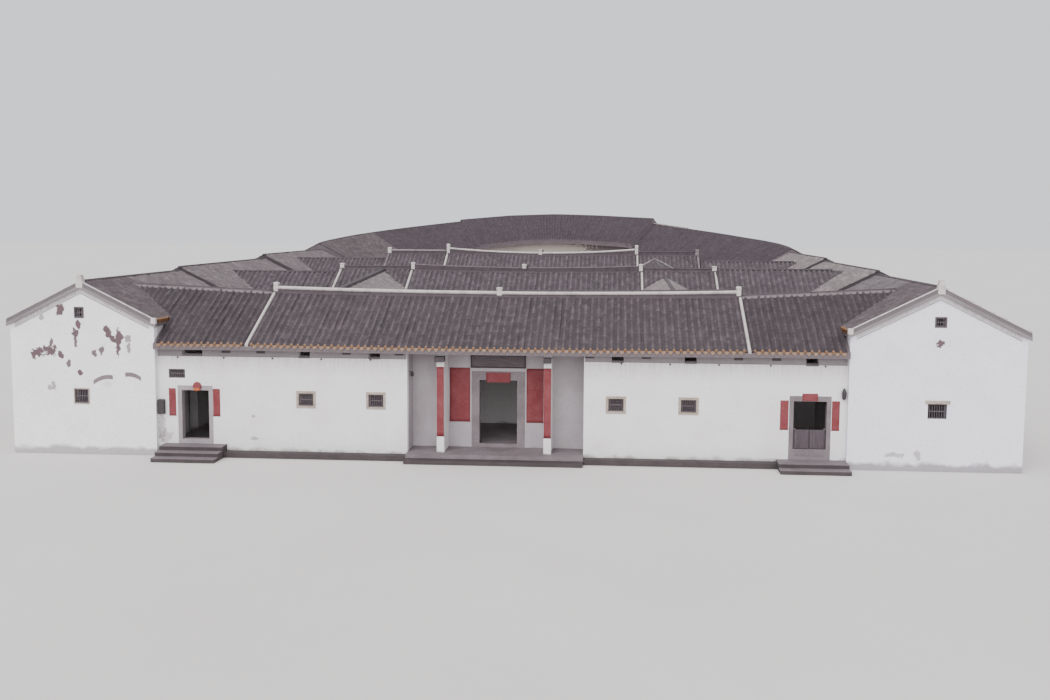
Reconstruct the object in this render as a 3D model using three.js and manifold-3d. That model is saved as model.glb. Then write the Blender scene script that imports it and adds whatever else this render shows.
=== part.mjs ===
// A walled clan village: a front range with a recessed entrance, a middle and a rear hall range
// on the same axis, two long side rows with gabled fronts, roofed galleries between the halls,
// and a horseshoe row closing the back. The model is half real size, in millimetres, +Z up.
// The origin is at the foot of the facade, midway between the side rows. +Y runs to the back.
import * as THREE from 'three';
import { mergeVertices } from 'three/addons/utils/BufferGeometryUtils.js';
import Module from 'manifold-3d';

const wasm = await Module();
wasm.setup();

// One metre of the real village in model millimetres.
const M = 500;

// Clearance between pieces that meet, and the overshoot of a cutting solid.
const GAP = 0.3;
const PAST = 50;

// Walls, roofs and ground level, common to all the rows.
const WALL = 0.36 * M;
const ROOF = 0.22 * M;
const EAVE_REACH = 0.42 * M;
const FLOOR = 0.31 * M;
const RIB = 0.3 * M;

// The front range, between the two side rows.
const FACADE_HALF = 13.77 * M;
const CENTRE_HALF = 9.98 * M;
const FRONT_RIDGE_Y = 3.79 * M;
const FRONT_DEPTH = 2 * FRONT_RIDGE_Y;
const FRONT = { y: FRONT_RIDGE_Y, reach: FRONT_RIDGE_Y + EAVE_REACH };
const FRONT_CENTRE = {
  ...FRONT, ridge: 6.46 * M, eave: 4.57 * M, sag: 0.08 * M, eaveSag: 0.05 * M,
  cap: 0.145 * M, block: 0.4 * M, knobX: -0.2 * M,
};
const FRONT_WING = { ...FRONT, ridge: 6.42 * M, eave: 4.57 * M };

// The middle and rear hall ranges: a centre block, a block on each side of it, and outer parts
// that run into the side rows.
const HALL_HALF = 6.15 * M;
const MIDDLE_HALF_DEPTH = 4.2 * M;
const MIDDLE = { y: 16.33 * M, reach: MIDDLE_HALF_DEPTH + EAVE_REACH };
const MIDDLE_CENTRE = {
  ...MIDDLE, ridge: 6.98 * M, eave: 4.78 * M, sag: 0.07 * M, eaveSag: 0,
  cap: 0.07 * M, block: 0.34 * M, knobX: 0,
};
const MIDDLE_SIDE = { ...MIDDLE, ridge: 7.02 * M, eave: 4.84 * M, block: 0.25 * M };
const MIDDLE_OUTER_WEST = { ...MIDDLE, ridge: 6.8 * M, eave: 4.7 * M };
const MIDDLE_OUTER_EAST = { ...MIDDLE, ridge: 7.12 * M, eave: 4.8 * M };
const REAR_HALF_DEPTH = 4.1 * M;
const REAR = { y: 29.84 * M, reach: REAR_HALF_DEPTH + EAVE_REACH };
const REAR_CENTRE = {
  ...REAR, ridge: 7.52 * M, eave: 5.3 * M, sag: 0.07 * M, eaveSag: 0,
  cap: 0.11 * M, block: 0.5 * M, knobX: 0,
};
const REAR_SIDE = { ...REAR, ridge: 7.48 * M, eave: 5.28 * M, block: 0.38 * M };
const REAR_OUTER = { ...REAR, ridge: 7.12 * M, eave: 5.05 * M };

// Raised verges, ridge caps and the blocks at their ends.
const VERGE_WIDTH = 0.1 * M;
const VERGE_RISE = 0.07 * M;
const CAP_WIDTH = 0.22 * M;
const LOW_CAP_RISE = 0.05 * M;
const RIDGE_BLOCK = 0.2 * M;
const KNOB_RISE = 0.27 * M;

// How far the front wings and the outer hall roofs run into the side rows.
const WING_RUN = 3.2 * M;
const OUTER_RUN = 2.9 * M;

// The side rows. Each has three roof sections that step up towards the back.
const SIDE_PITCH = 0.5;
const SIDE_EAVE_REACH = 0.1 * M;
const GABLE_FACE_Y = -0.25 * M;
const GABLE_VERGE = 0.12 * M;
const SIDE_STEPS_Y = [GABLE_FACE_Y - GABLE_VERGE, 10.8 * M, 25 * M, 39 * M];
const SIDE_ROWS = {
  west: { sign: -1, width: 5.99 * M, ridges: [7.03 * M, 7.21 * M, 7.46 * M], wingRise: 0.3 * M },
  east: { sign: 1, width: 6.66 * M, ridges: [7.12 * M, 7.31 * M, 7.5 * M], wingRise: 0.38 * M },
};
const FINIAL = { width: 0.26 * M, top: 0.15 * M, depth: 0.26 * M, rise: 0.27 * M };

// The horseshoe row: half rings about a point on the axis, with angles counted from the east end.
const RING = { x: 0.15 * M, y: 39 * M, inner: 13.75 * M, outer: 20.1 * M, ridge: 17 * M };
const RING_IN_REACH = 4.1 * M;
const RING_OUT_REACH = 3.4 * M;
const RING_PITCH = 0.52;
const RING_STEP_DEGREES = 7.5;
const EAST_STEP_ANGLE = 63;
const WEST_STEP_ANGLE = 120;
const RIB_ANGLE = 1;
const WALL_SPLIT_ANGLE = 100;
const RIDGE_EAST = [[0, 7.75], [31, 8.42], [48, 8.93], [EAST_STEP_ANGLE, 9.45]];
const RIDGE_CENTRE = [
  [EAST_STEP_ANGLE, 9.9], [80, 10.13], [92, 10.22], [105, 10.08], [WEST_STEP_ANGLE, 9.7],
];
const RIDGE_WEST = [[WEST_STEP_ANGLE, 9.55], [133, 9.15], [148, 8.71], [166, 8.22], [180, 7.9]];

// The galleries that join the hall ranges along the courtyards.
const GALLERY_HALF = 1.9 * M;
const GALLERY_REACH = 2.2 * M;
const GALLERY_WALL = 0.3 * M;
const GALLERY_PITCH = 0.5;
const GALLERIES = {
  west: {
    front: { x: -7.66 * M, ridges: [6.3 * M, 6.9 * M] },
    rear: { x: -7.53 * M, ridges: [6.7 * M, 6.9 * M] },
  },
  east: {
    front: { x: 7.3 * M, ridges: [6.5 * M, 6.68 * M] },
    rear: { x: 7.2 * M, ridges: [7.1 * M, 7.22 * M] },
  },
};

// The recessed entrance.
const RECESS_HALF = 3.53 * M;
const RECESS_DEPTH = 1.35 * M;
const PIERS_X = { west: -2.2 * M, east: 2.09 * M };
const PIER_WIDTH = 0.3 * M;
const PIER_FACE_Y = 0.05 * M;
const MAIN_DOOR = { x: 0, half: 0.775 * M, outer: 1.1 * M, sill: 0.45 * M, head: 3.08 * M, top: 3.45 * M };
const BOARD = { half: 1.12 * M, bottom: 3.6 * M, top: 4.12 * M, thick: 0.06 * M };

// The side doors, with stone frames and high thresholds, and the half-height gate of the east one.
const WEST_DOOR = {
  x: -12.22 * M, half: 0.56 * M, outer: 0.73 * M, sill: 0.65 * M, head: 2.66 * M, top: 2.85 * M,
};
const EAST_DOOR = {
  x: 12.37 * M, half: 0.64 * M, outer: 0.81 * M, sill: 0.72 * M, head: 2.62 * M, top: 2.83 * M,
};
const FRAME_DEPTH = 0.34 * M;
const GATE_TOP = 1.49 * M;
const GATE_THICK = 0.05 * M;
const GATE_Y = 0.12 * M;
const GATE_PIVOT = 0.05 * M;
const GATE_CLEAR = 6;
const MEETING_CLEAR = 5;
const PIN_RADIUS = 6;
const PIN_HOLE_RADIUS = 7;
const PIN_LENGTH = 20;
const PIN_SIDES = 16;
const LUG_THICK = 16;
const LUG_ROOT = 3;

// Steps, landings and the low apron along the facade.
const STEP_DEPTH = 0.5 * M;
const STEP_RISE = 0.155 * M;
const FLIGHTS = {
  west: {
    across: [-13.5 * M, -10.94 * M],
    levels: [
      ['landing', 0.7 * M, 0.47 * M], ['step', STEP_DEPTH, 2 * STEP_RISE], ['lower_step', 0.45 * M, STEP_RISE],
    ],
  },
  east: {
    across: [11.1 * M, FACADE_HALF - GAP],
    levels: [['landing', 0.94 * M, FLOOR], ['step', STEP_DEPTH, STEP_RISE]],
  },
};
const PORCH_DEPTH = 0.5 * M;
const APRON_DEPTH = 0.45 * M;
const APRON_RISE = 0.22 * M;

// Windows, vents and inner doorways: centre, width, sill height and height.
const FACADE_WINDOWS = [
  { x: 4.8 * M, width: 0.6 * M, sill: 2.1 * M, height: 0.5 * M },
  { x: 7.65 * M, width: 0.6 * M, sill: 2.1 * M, height: 0.5 * M },
];
const EAVE_VENT = { width: 0.46 * M, sill: 4.1 * M, height: 0.34 * M };
const EAVE_VENTS_X = [4.85 * M, 7.7 * M];
const WEST_END_VENT = { x: -12.3 * M, width: 0.83 * M, sill: 4.13 * M, height: 0.31 * M };
const EAST_END_VENT = { x: 12.4 * M, width: 0.48 * M, sill: 4.08 * M, height: 0.36 * M };
const WEST_LOUVRE = { x: -12.96 * M, width: 0.68 * M, sill: 3.15 * M, height: 0.37 * M };
const GABLE_WINDOWS = {
  west: [
    { x: -16.85 * M, width: 0.57 * M, sill: 2.1 * M, height: 0.56 * M },
    { x: -16.86 * M, width: 0.32 * M, sill: 5.6 * M, height: 0.37 * M },
  ],
  east: [
    { x: 17.15 * M, width: 0.73 * M, sill: 2.06 * M, height: 0.58 * M },
    { x: 17.15 * M, width: 0.37 * M, sill: 5.63 * M, height: 0.33 * M },
  ],
};
const INNER_DOOR = { width: 1.1 * M, head: 2.3 * M };
const HALL_DOOR = { width: 2 * M, head: 2.9 * M };
const SCREEN_DOORS_X = [-3 * M, 3 * M];
const ALLEY_X = 12.2 * M;
const SIDE_ROW_DOORS_Y = [4 * M, 10 * M, 23 * M, 36.5 * M];
const OUTER_WINDOWS_Y = [5 * M, 12 * M, 18.5 * M, 25.5 * M, 32 * M];
const OUTER_WINDOW = { width: 0.57 * M, sill: 2.1 * M, height: 0.56 * M };
const RING_DOOR_ANGLES = [20, 90, 160];
const RING_WINDOW_ANGLES = [22, 56, 90, 124, 158];

const COLOURS = {
  plaster: 0xd9d8dc,
  tile: 0x5f5860,
  stone: 0x8d8488,
  wood: 0x6d6168,
  paleStone: 0xa59ea0,
};

const village = new THREE.Group();

// Turns a closed geometry into a solid that can be joined and cut.
function solidOf(geometry) {
  geometry.deleteAttribute('normal');
  geometry.deleteAttribute('uv');
  const merged = mergeVertices(geometry, 1e-3);
  return new wasm.Manifold(new wasm.Mesh({
    numProp: 3,
    vertProperties: Float32Array.from(merged.attributes.position.array),
    triVerts: Uint32Array.from(merged.index.array),
  }));
}

// The solids placed so far, for the pieces that are fitted to them.
const placed = new Map();

// Adds a solid to the village as a named mesh.
function place(name, solid, colour, roughness = 0.9) {
  placed.set(name, solid);
  const mesh = solid.getMesh();
  const geometry = new THREE.BufferGeometry();
  geometry.setAttribute('position', new THREE.BufferAttribute(mesh.vertProperties, 3));
  geometry.setIndex(new THREE.BufferAttribute(mesh.triVerts, 1));
  const material = new THREE.MeshStandardMaterial({ color: colour, roughness, metalness: 0 });
  const piece = new THREE.Mesh(geometry, material);
  piece.name = name;
  village.add(piece);
}

function box([x0, x1], [y0, y1], [z0, z1]) {
  const geometry = new THREE.BoxGeometry(x1 - x0, y1 - y0, z1 - z0);
  geometry.translate((x0 + x1) / 2, (y0 + y1) / 2, (z0 + z1) / 2);
  return solidOf(geometry);
}

// The frames that lay an outline drawn in (u, v) across each axis of the village.
const ACROSS = {
  x: new THREE.Matrix4().makeBasis(
    new THREE.Vector3(0, 1, 0), new THREE.Vector3(0, 0, 1), new THREE.Vector3(1, 0, 0)),
  y: new THREE.Matrix4().makeBasis(
    new THREE.Vector3(1, 0, 0), new THREE.Vector3(0, 0, 1), new THREE.Vector3(0, -1, 0)),
  z: new THREE.Matrix4(),
};

// Extrudes an outline along an axis: (y, z) along x, (x, z) along y, or (x, y) along z.
function prism(axis, outline, from, to) {
  const shape = new THREE.Shape(outline.map(([u, v]) => new THREE.Vector2(u, v)));
  const geometry = new THREE.ExtrudeGeometry(shape, { depth: to - from, bevelEnabled: false });
  geometry.applyMatrix4(ACROSS[axis]);
  geometry.translate(axis === 'x' ? from : 0, axis === 'y' ? to : 0, axis === 'z' ? from : 0);
  return solidOf(geometry);
}

// A closed solid through like outlines, each put in space by seat(u, v, index).
function loft(outlines, seat) {
  const count = outlines[0].length;
  const points = outlines.flatMap((outline, index) => outline.map(([u, v]) => seat(u, v, index)));
  const area = (ring) => THREE.ShapeUtils.area(ring);
  const cap = (outline) => {
    const ring = outline.map(([u, v]) => new THREE.Vector2(u, v));
    return THREE.ShapeUtils.triangulateShape(ring, []).map((face) => {
      const turnsAsRing = area(face.map((i) => ring[i])) * area(ring) > 0;
      return turnsAsRing ? face : [...face].reverse();
    });
  };
  const last = (outlines.length - 1) * count;
  const faces = cap(outlines[0]).map((face) => [...face].reverse());
  cap(outlines.at(-1)).forEach((face) => faces.push(face.map((i) => i + last)));
  for (let ring = 0; ring < last; ring += count) {
    for (let i = 0; i < count; i += 1) {
      const a = ring + i;
      const b = ring + ((i + 1) % count);
      faces.push([a, b, b + count], [a, b + count, a + count]);
    }
  }
  const volume = faces.reduce((sum, [a, b, c]) => {
    const [p, q, r] = [points[a], points[b], points[c]].map((point) => new THREE.Vector3(...point));
    return sum + p.dot(q.cross(r));
  }, 0);
  const outward = volume > 0 ? faces : faces.map((face) => [...face].reverse());
  const geometry = new THREE.BufferGeometry();
  geometry.setAttribute('position', new THREE.Float32BufferAttribute(points.flat(), 3));
  geometry.setIndex(outward.flat());
  return solidOf(geometry);
}

// Two places on an axis, the lower first.
const between = (a, b) => (a < b ? [a, b] : [b, a]);

const joined = (solids) => solids.reduce((whole, piece) => whole.add(piece));
const without = (solid, cuts) => cuts.reduce((left, cut) => left.subtract(cut), solid);

// The largest separate body of a solid, when a cut leaves crumbs beyond a neighbour.
function largest(solid) {
  return solid.decompose().reduce((best, piece) => (piece.volume() > best.volume() ? piece : best));
}

// Cuts a solid clear of pieces already placed, by the clearance on every side.
function clearOf(solid, names) {
  const shifts = [[1, 0, 0], [-1, 0, 0], [0, 1, 0], [0, -1, 0], [0, 0, 1], [0, 0, -1]];
  const grown = (name) => shifts.map((shift) => placed.get(name).translate(shift.map((k) => k * GAP)));
  return without(solid, names.flatMap(grown));
}

// Two slopes that meet at a ridge, in section. rise lifts the top and drop lowers the underside.
function chevron(centre, reach, ridge, eave, rise = 0, drop = 0) {
  const under = ROOF + drop;
  return [
    [centre - reach, eave + rise], [centre, ridge + rise], [centre + reach, eave + rise],
    [centre + reach, eave - under], [centre, ridge - under], [centre - reach, eave - under],
  ];
}

// Height of a roof block's underside at a distance from its ridge line.
function underside({ ridge, eave, reach }, distance) {
  return ridge - ((ridge - eave) * distance) / reach - ROOF;
}

// A roof whose ridge runs along x, with a ridge height at each station, and an eave height where
// it isn't the block's.
function crossRoof(block, stations, rise = 0, drop = 0) {
  const outline = ([, ridge, eave = block.eave]) => chevron(block.y, block.reach, ridge, eave, rise, drop);
  return loft(stations.map(outline), (u, v, i) => [stations[i][0], u, v]);
}

const vergeAt = (block, x, drop = 0) => crossRoof(
  block, [[x - VERGE_WIDTH / 2, block.ridge], [x + VERGE_WIDTH / 2, block.ridge]], VERGE_RISE, drop);

// A block that stands on the ridge, sunk into the cap and the tiles below it.
function ridgeBlock(block, x, rise) {
  return box([x - RIDGE_BLOCK / 2, x + RIDGE_BLOCK / 2], [block.y - CAP_WIDTH / 2, block.y + CAP_WIDTH / 2],
    [block.ridge - ROOF, block.ridge + rise]);
}

// A centre block's roof: the ridge and eave sag a little, with a raised cap, verges, a block at
// each end of the ridge and a knob near its middle.
function centreRoof(block, half) {
  const stations = [-1, -0.5, 0, 0.5, 1].map((t) => [
    t * half, block.ridge - block.sag * (1 - t * t), block.eave - block.eaveSag * (1 - t * t),
  ]);
  const capOutline = (ridge) => [
    [block.y - CAP_WIDTH / 2, ridge - ROOF / 2], [block.y + CAP_WIDTH / 2, ridge - ROOF / 2],
    [block.y + CAP_WIDTH / 2, ridge + block.cap], [block.y - CAP_WIDTH / 2, ridge + block.cap],
  ];
  const cap = loft(stations.map(([, ridge]) => capOutline(ridge)), (u, v, i) => [stations[i][0], u, v]);
  const verges = [-1, 1].map((side) => vergeAt(block, side * (half - VERGE_WIDTH / 2)));
  const endX = half - RIDGE_BLOCK / 2;
  const blocks = [-endX, endX].map((x) => ridgeBlock(block, x, block.block));
  blocks.push(ridgeBlock(block, block.knobX, KNOB_RISE));
  return joined([crossRoof(block, stations), cap, ...verges, ...blocks]);
}

// The side rows' roof sections. Each later section starts with a rib that reaches down to the
// section before it.
function sideRow(row, index) {
  const x = row.sign * (FACADE_HALF + row.width / 2);
  const half = row.width / 2;
  const reach = half + SIDE_EAVE_REACH;
  return {
    x, half, reach, ridge: row.ridges[index], eave: row.ridges[index] - SIDE_PITCH * reach,
    from: SIDE_STEPS_Y[index], to: SIDE_STEPS_Y[index + 1],
  };
}

function sideRoof(row, index) {
  const part = sideRow(row, index);
  const outline = (drop) => chevron(part.x, part.reach, part.ridge, part.eave, 0, drop);
  const slopes = prism('y', outline(0), part.from, part.to - GAP);
  if (index === 0) {
    const [foot, top] = [FINIAL.width / 2, FINIAL.top / 2];
    const finial = [
      [part.x - foot, part.ridge - ROOF], [part.x + foot, part.ridge - ROOF],
      [part.x + top, part.ridge + FINIAL.rise], [part.x - top, part.ridge + FINIAL.rise],
    ];
    return slopes.add(prism('y', finial, part.from, part.from + FINIAL.depth));
  }
  const drop = part.ridge - row.ridges[index - 1];
  return slopes.add(prism('y', outline(drop), part.from, part.from + RIB));
}

// Everything under a side row's roof, grown by the clearance, which the cross ranges are cut by.
function sideRowEnvelope(row, index) {
  const { x, half, reach, ridge, eave, from, to } = sideRow(row, index);
  const under = eave - ROOF - GAP;
  const wallTop = ridge - SIDE_PITCH * half - ROOF - 2 * GAP;
  const outline = [
    [x - reach - GAP, eave + GAP], [x, ridge + GAP], [x + reach + GAP, eave + GAP],
    [x + reach + GAP, under], [x + half + GAP, wallTop], [x + half + GAP, -PAST],
    [x - half - GAP, -PAST], [x - half - GAP, wallTop], [x - reach - GAP, under],
  ];
  return prism('y', outline, index === 0 ? from - M : from, to);
}

// Everything under a cross range's roof between two x places, grown by the clearance.
function crossEnvelope(block, halfDepth, [x0, x1]) {
  const { y, reach, ridge, eave } = block;
  const top = GAP * 2;
  const under = eave - ROOF - GAP;
  const wallTop = underside(block, halfDepth) - 2 * GAP;
  const outline = [
    [y - reach - GAP, eave + top], [y, ridge + top], [y + reach + GAP, eave + top],
    [y + reach + GAP, under], [y + halfDepth + GAP, wallTop], [y + halfDepth + GAP, -PAST],
    [y - halfDepth - GAP, -PAST], [y - halfDepth - GAP, wallTop], [y - reach - GAP, under],
  ];
  return prism('x', outline, x0, x1);
}

// A hole through a wall that runs along x or along y.
const holeAcrossY = ({ x, width, sill, height }, [y0, y1]) => box(
  [x - width / 2, x + width / 2], [y0 - PAST, y1 + PAST], [sill, sill + height]);
const holeAcrossX = ({ y, width, sill, height }, [x0, x1]) => box(
  [x0 - PAST, x1 + PAST], [y - width / 2, y + width / 2], [sill, sill + height]);
const doorwayAt = (x, { width, head }) => ({ x, width, sill: -PAST, height: head + PAST });

// The space that a stone door frame fills in its wall.
const frameHole = (door, depth) => box(
  [door.x - door.outer - GAP, door.x + door.outer + GAP], depth, [-PAST, door.top + GAP]);

function doorFrame(door, faceY) {
  const body = box([door.x - door.outer, door.x + door.outer], [faceY, faceY + FRAME_DEPTH], [0, door.top]);
  const opening = box([door.x - door.half, door.x + door.half],
    [faceY - PAST, faceY + FRAME_DEPTH + PAST], [door.sill, door.head]);
  return body.subtract(opening);
}

function pin(x, y, radius, [z0, z1]) {
  const geometry = new THREE.CylinderGeometry(radius, radius, z1 - z0, PIN_SIDES);
  geometry.rotateX(Math.PI / 2);
  geometry.translate(x, y, (z0 + z1) / 2);
  return solidOf(geometry);
}

function buildFrontWalls() {
  const wingTop = underside(FRONT_WING, FRONT_RIDGE_Y) - GAP;
  const centreTop = underside(FRONT_CENTRE, FRONT_RIDGE_Y) - GAP;
  const depth = [0, WALL];
  const holes = [...FACADE_WINDOWS, ...EAVE_VENTS_X.map((x) => ({ ...EAVE_VENT, x }))];
  const holesOn = (side) => holes.map((hole) => holeAcrossY({ ...hole, x: side * hole.x }, depth));
  const elevation = (to) => [
    [RECESS_HALF, 0], [to, 0], [to, wingTop], [CENTRE_HALF, wingTop],
    [CENTRE_HALF, centreTop], [RECESS_HALF, centreTop],
  ];
  const mirrored = (outline) => outline.map(([u, v]) => [-u, v]).reverse();

  const roofs = ['front_roof_centre', 'front_roof_west', 'front_roof_east'];

  const westWall = without(prism('y', mirrored(elevation(FACADE_HALF - GAP)), ...depth), [
    ...holesOn(-1), frameHole(WEST_DOOR, [-PAST, WALL + PAST]),
    holeAcrossY(WEST_END_VENT, depth), holeAcrossY(WEST_LOUVRE, depth),
  ]);
  place('front_wall_west', clearOf(westWall, roofs), COLOURS.plaster);

  const doorLeft = EAST_DOOR.x - EAST_DOOR.outer - GAP;
  const doorRight = EAST_DOOR.x + EAST_DOOR.outer + GAP;
  const eastWall = without(prism('y', elevation(doorLeft), ...depth), holesOn(1));
  place('front_wall_east', clearOf(eastWall, roofs), COLOURS.plaster);
  const overDoor = box([doorLeft + GAP, doorRight - GAP], depth, [EAST_DOOR.top + GAP, wingTop]);
  place('front_wall_over_east_door', overDoor.subtract(holeAcrossY(EAST_END_VENT, depth)), COLOURS.plaster);
  place('front_wall_east_end', box([doorRight, FACADE_HALF - GAP], depth, [0, wingTop]), COLOURS.plaster);

  const end = FACADE_HALF - GAP;
  const rearDepth = [FRONT_DEPTH - WALL, FRONT_DEPTH];
  const rearOutline = [
    [-end, 0], [end, 0], [end, wingTop], [CENTRE_HALF, wingTop], [CENTRE_HALF, centreTop],
    [-CENTRE_HALF, centreTop], [-CENTRE_HALF, wingTop], [-end, wingTop],
  ];
  const rearWall = without(prism('y', rearOutline, ...rearDepth), [
    ...[-ALLEY_X, ...SCREEN_DOORS_X, ALLEY_X].map((x) => holeAcrossY(doorwayAt(x, INNER_DOOR), rearDepth)),
  ]);
  place('front_range_rear_wall', clearOf(rearWall, roofs), COLOURS.plaster);
}

function buildEntrance() {
  const top = (y) => underside(FRONT_CENTRE, FRONT_RIDGE_Y - y) - GAP;
  const back = RECESS_DEPTH + WALL;
  const start = WALL + GAP;
  const outerHalf = RECESS_HALF + WALL;
  const section = [[start, 0], [back, 0], [back, top(back)], [start, top(start)]];
  const block = prism('x', section, -outerHalf, outerHalf);
  const hollow = box([-RECESS_HALF, RECESS_HALF], [0, RECESS_DEPTH], [-PAST, FRONT_CENTRE.ridge]);
  const recess = without(block, [hollow, frameHole(MAIN_DOOR, [RECESS_DEPTH - PAST, back + PAST])]);
  place('entrance_recess', clearOf(recess, ['front_roof_centre']), COLOURS.plaster);

  for (const [name, x] of Object.entries(PIERS_X)) {
    const pierBack = RECESS_DEPTH - GAP;
    const outline = [
      [PIER_FACE_Y, FLOOR + GAP], [pierBack, FLOOR + GAP],
      [pierBack, top(pierBack)], [PIER_FACE_Y, top(PIER_FACE_Y)],
    ];
    const pier = prism('x', outline, x - PIER_WIDTH / 2, x + PIER_WIDTH / 2);
    place(`entrance_pier_${name}`, clearOf(pier, ['front_roof_centre']), COLOURS.plaster);
  }
  const boardDepth = [RECESS_DEPTH - GAP - BOARD.thick, RECESS_DEPTH - GAP];
  place('name_board', box([-BOARD.half, BOARD.half], boardDepth, [BOARD.bottom, BOARD.top]), COLOURS.wood);
  place('main_door_frame', doorFrame(MAIN_DOOR, RECESS_DEPTH), COLOURS.stone);
}

// The half-height gate leaves pivot on pins: the lower in the threshold, the upper in a lug.
function buildEastGate() {
  const lugBottom = GATE_TOP + GATE_CLEAR;
  const lugTop = lugBottom + LUG_THICK;
  const socketBottom = EAST_DOOR.sill - PIN_LENGTH;
  let frame = doorFrame(EAST_DOOR, 0);
  for (const [side, name] of [[-1, 'west'], [1, 'east']]) {
    const jamb = EAST_DOOR.x + side * EAST_DOOR.half;
    const pivot = jamb - side * GATE_PIVOT;
    const lugAcross = between(jamb + side * LUG_ROOT, pivot - side * GATE_PIVOT);
    const lug = box(lugAcross, [GATE_Y - GATE_PIVOT, GATE_Y + GATE_PIVOT], [lugBottom, lugTop]);
    const sockets = [[lugBottom - PAST, lugTop + PAST], [socketBottom, EAST_DOOR.sill + PAST]];
    frame = without(frame.add(lug), sockets.map((span) => pin(pivot, GATE_Y, PIN_HOLE_RADIUS, span)));

    const leafAcross = between(pivot + (side * GATE_THICK) / 2, EAST_DOOR.x + side * MEETING_CLEAR);
    const panel = box(leafAcross, [GATE_Y - GATE_THICK / 2, GATE_Y + GATE_THICK / 2],
      [EAST_DOOR.sill + GATE_CLEAR, GATE_TOP]);
    const heel = pin(pivot, GATE_Y, PIN_RADIUS, [socketBottom + GATE_CLEAR, lugTop]);
    place(`gate_leaf_${name}`, panel.add(heel), COLOURS.wood, 0.7);
  }
  place('east_door_frame', frame, COLOURS.stone);
  place('west_door_frame', doorFrame(WEST_DOOR, 0), COLOURS.stone);
}

function buildGroundWork() {
  const wallSide = FACADE_HALF - GAP;
  for (const [side, name] of [[-1, 'west'], [1, 'east']]) {
    const { across, levels } = FLIGHTS[name];
    let back = 0;
    for (const [level, depth, height] of levels) {
      place(`${name}_${level}`, box(across, [back - depth, back - GAP], [0, height]), COLOURS.stone);
      back -= depth;
    }
    const flightEdge = Math.min(...across.map(Math.abs));
    const apron = between(side * (RECESS_HALF + GAP), side * (flightEdge - GAP));
    place(`front_apron_${name}`, box(apron, [-APRON_DEPTH, -GAP], [0, APRON_RISE]), COLOURS.paleStone);
  }
  const porch = [GAP - RECESS_HALF, RECESS_HALF - GAP];
  const tread = [-PORCH_DEPTH - STEP_DEPTH, -PORCH_DEPTH - GAP];
  place('entrance_floor', box(porch, [-PORCH_DEPTH, RECESS_DEPTH - GAP], [0, FLOOR]), COLOURS.stone);
  place('entrance_step', box(porch, tread, [0, STEP_RISE]), COLOURS.stone);

  const inside = box([-wallSide, wallSide], [WALL + GAP, FRONT_DEPTH - WALL - GAP], [0, FLOOR]);
  const recessHalf = RECESS_HALF + WALL + GAP;
  const recess = box([-recessHalf, recessHalf], [0, RECESS_DEPTH + WALL + GAP], [-PAST, FLOOR + PAST]);
  place('front_range_floor', inside.subtract(recess), COLOURS.stone);
}

function buildFrontRoofs() {
  place('front_roof_centre', centreRoof(FRONT_CENTRE, CENTRE_HALF), COLOURS.tile);
  const end = FACADE_HALF + WING_RUN;
  for (const [name, row] of Object.entries(SIDE_ROWS)) {
    const stations = [
      [row.sign * (CENTRE_HALF + GAP), FRONT_WING.ridge], [row.sign * end, FRONT_WING.ridge + row.wingRise],
    ];
    const wing = crossRoof(FRONT_WING, stations).subtract(sideRowEnvelope(row, 0));
    place(`front_roof_${name}`, largest(wing), COLOURS.tile);
  }
}

function buildSideRows() {
  for (const [name, row] of Object.entries(SIDE_ROWS)) {
    const parts = row.ridges.map((_, index) => sideRow(row, index));
    const [first] = parts;
    const faceInside = row.sign * FACADE_HALF;
    const faceOutside = row.sign * (FACADE_HALF + row.width);

    const edge = first.ridge - SIDE_PITCH * first.half - ROOF - GAP;
    const gable = [
      [first.x - first.half, 0], [first.x + first.half, 0], [first.x + first.half, edge],
      [first.x, first.ridge - ROOF - GAP], [first.x - first.half, edge],
    ];
    const gableDepth = [GABLE_FACE_Y, GABLE_FACE_Y + WALL];
    place(`${name}_row_gable`, without(prism('y', gable, ...gableDepth),
      GABLE_WINDOWS[name].map((hole) => holeAcrossY(hole, gableDepth))), COLOURS.plaster);

    const wallTops = parts.map((part) => part.ridge - SIDE_PITCH * part.half - ROOF - GAP);
    const start = gableDepth[1] + GAP;
    const end = SIDE_STEPS_Y[3] - GAP;
    const [, second, third] = SIDE_STEPS_Y.map((y) => y + RIB + GAP);
    const elevation = [
      [start, 0], [end, 0], [end, wallTops[2]], [third, wallTops[2]], [third, wallTops[1]],
      [second, wallTops[1]], [second, wallTops[0]], [start, wallTops[0]],
    ];
    const innerAcross = between(faceInside, faceInside + row.sign * WALL);
    const outerAcross = between(faceOutside, faceOutside - row.sign * WALL);
    const doors = SIDE_ROW_DOORS_Y.map((y) => holeAcrossX(
      { y, width: INNER_DOOR.width, sill: -PAST, height: INNER_DOOR.head + PAST }, innerAcross));
    const windows = OUTER_WINDOWS_Y.map((y) => holeAcrossX({ ...OUTER_WINDOW, y }, outerAcross));
    const innerWall = without(prism('x', elevation, ...innerAcross), doors);
    const outerWall = without(prism('x', elevation, ...outerAcross), windows);
    place(`${name}_row_inner_wall`, innerWall, COLOURS.plaster);
    place(`${name}_row_outer_wall`, outerWall, COLOURS.plaster);
    ['front', 'middle', 'rear'].forEach((where, index) => {
      place(`${name}_row_roof_${where}`, sideRoof(row, index), COLOURS.tile);
    });
  }
}

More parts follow.
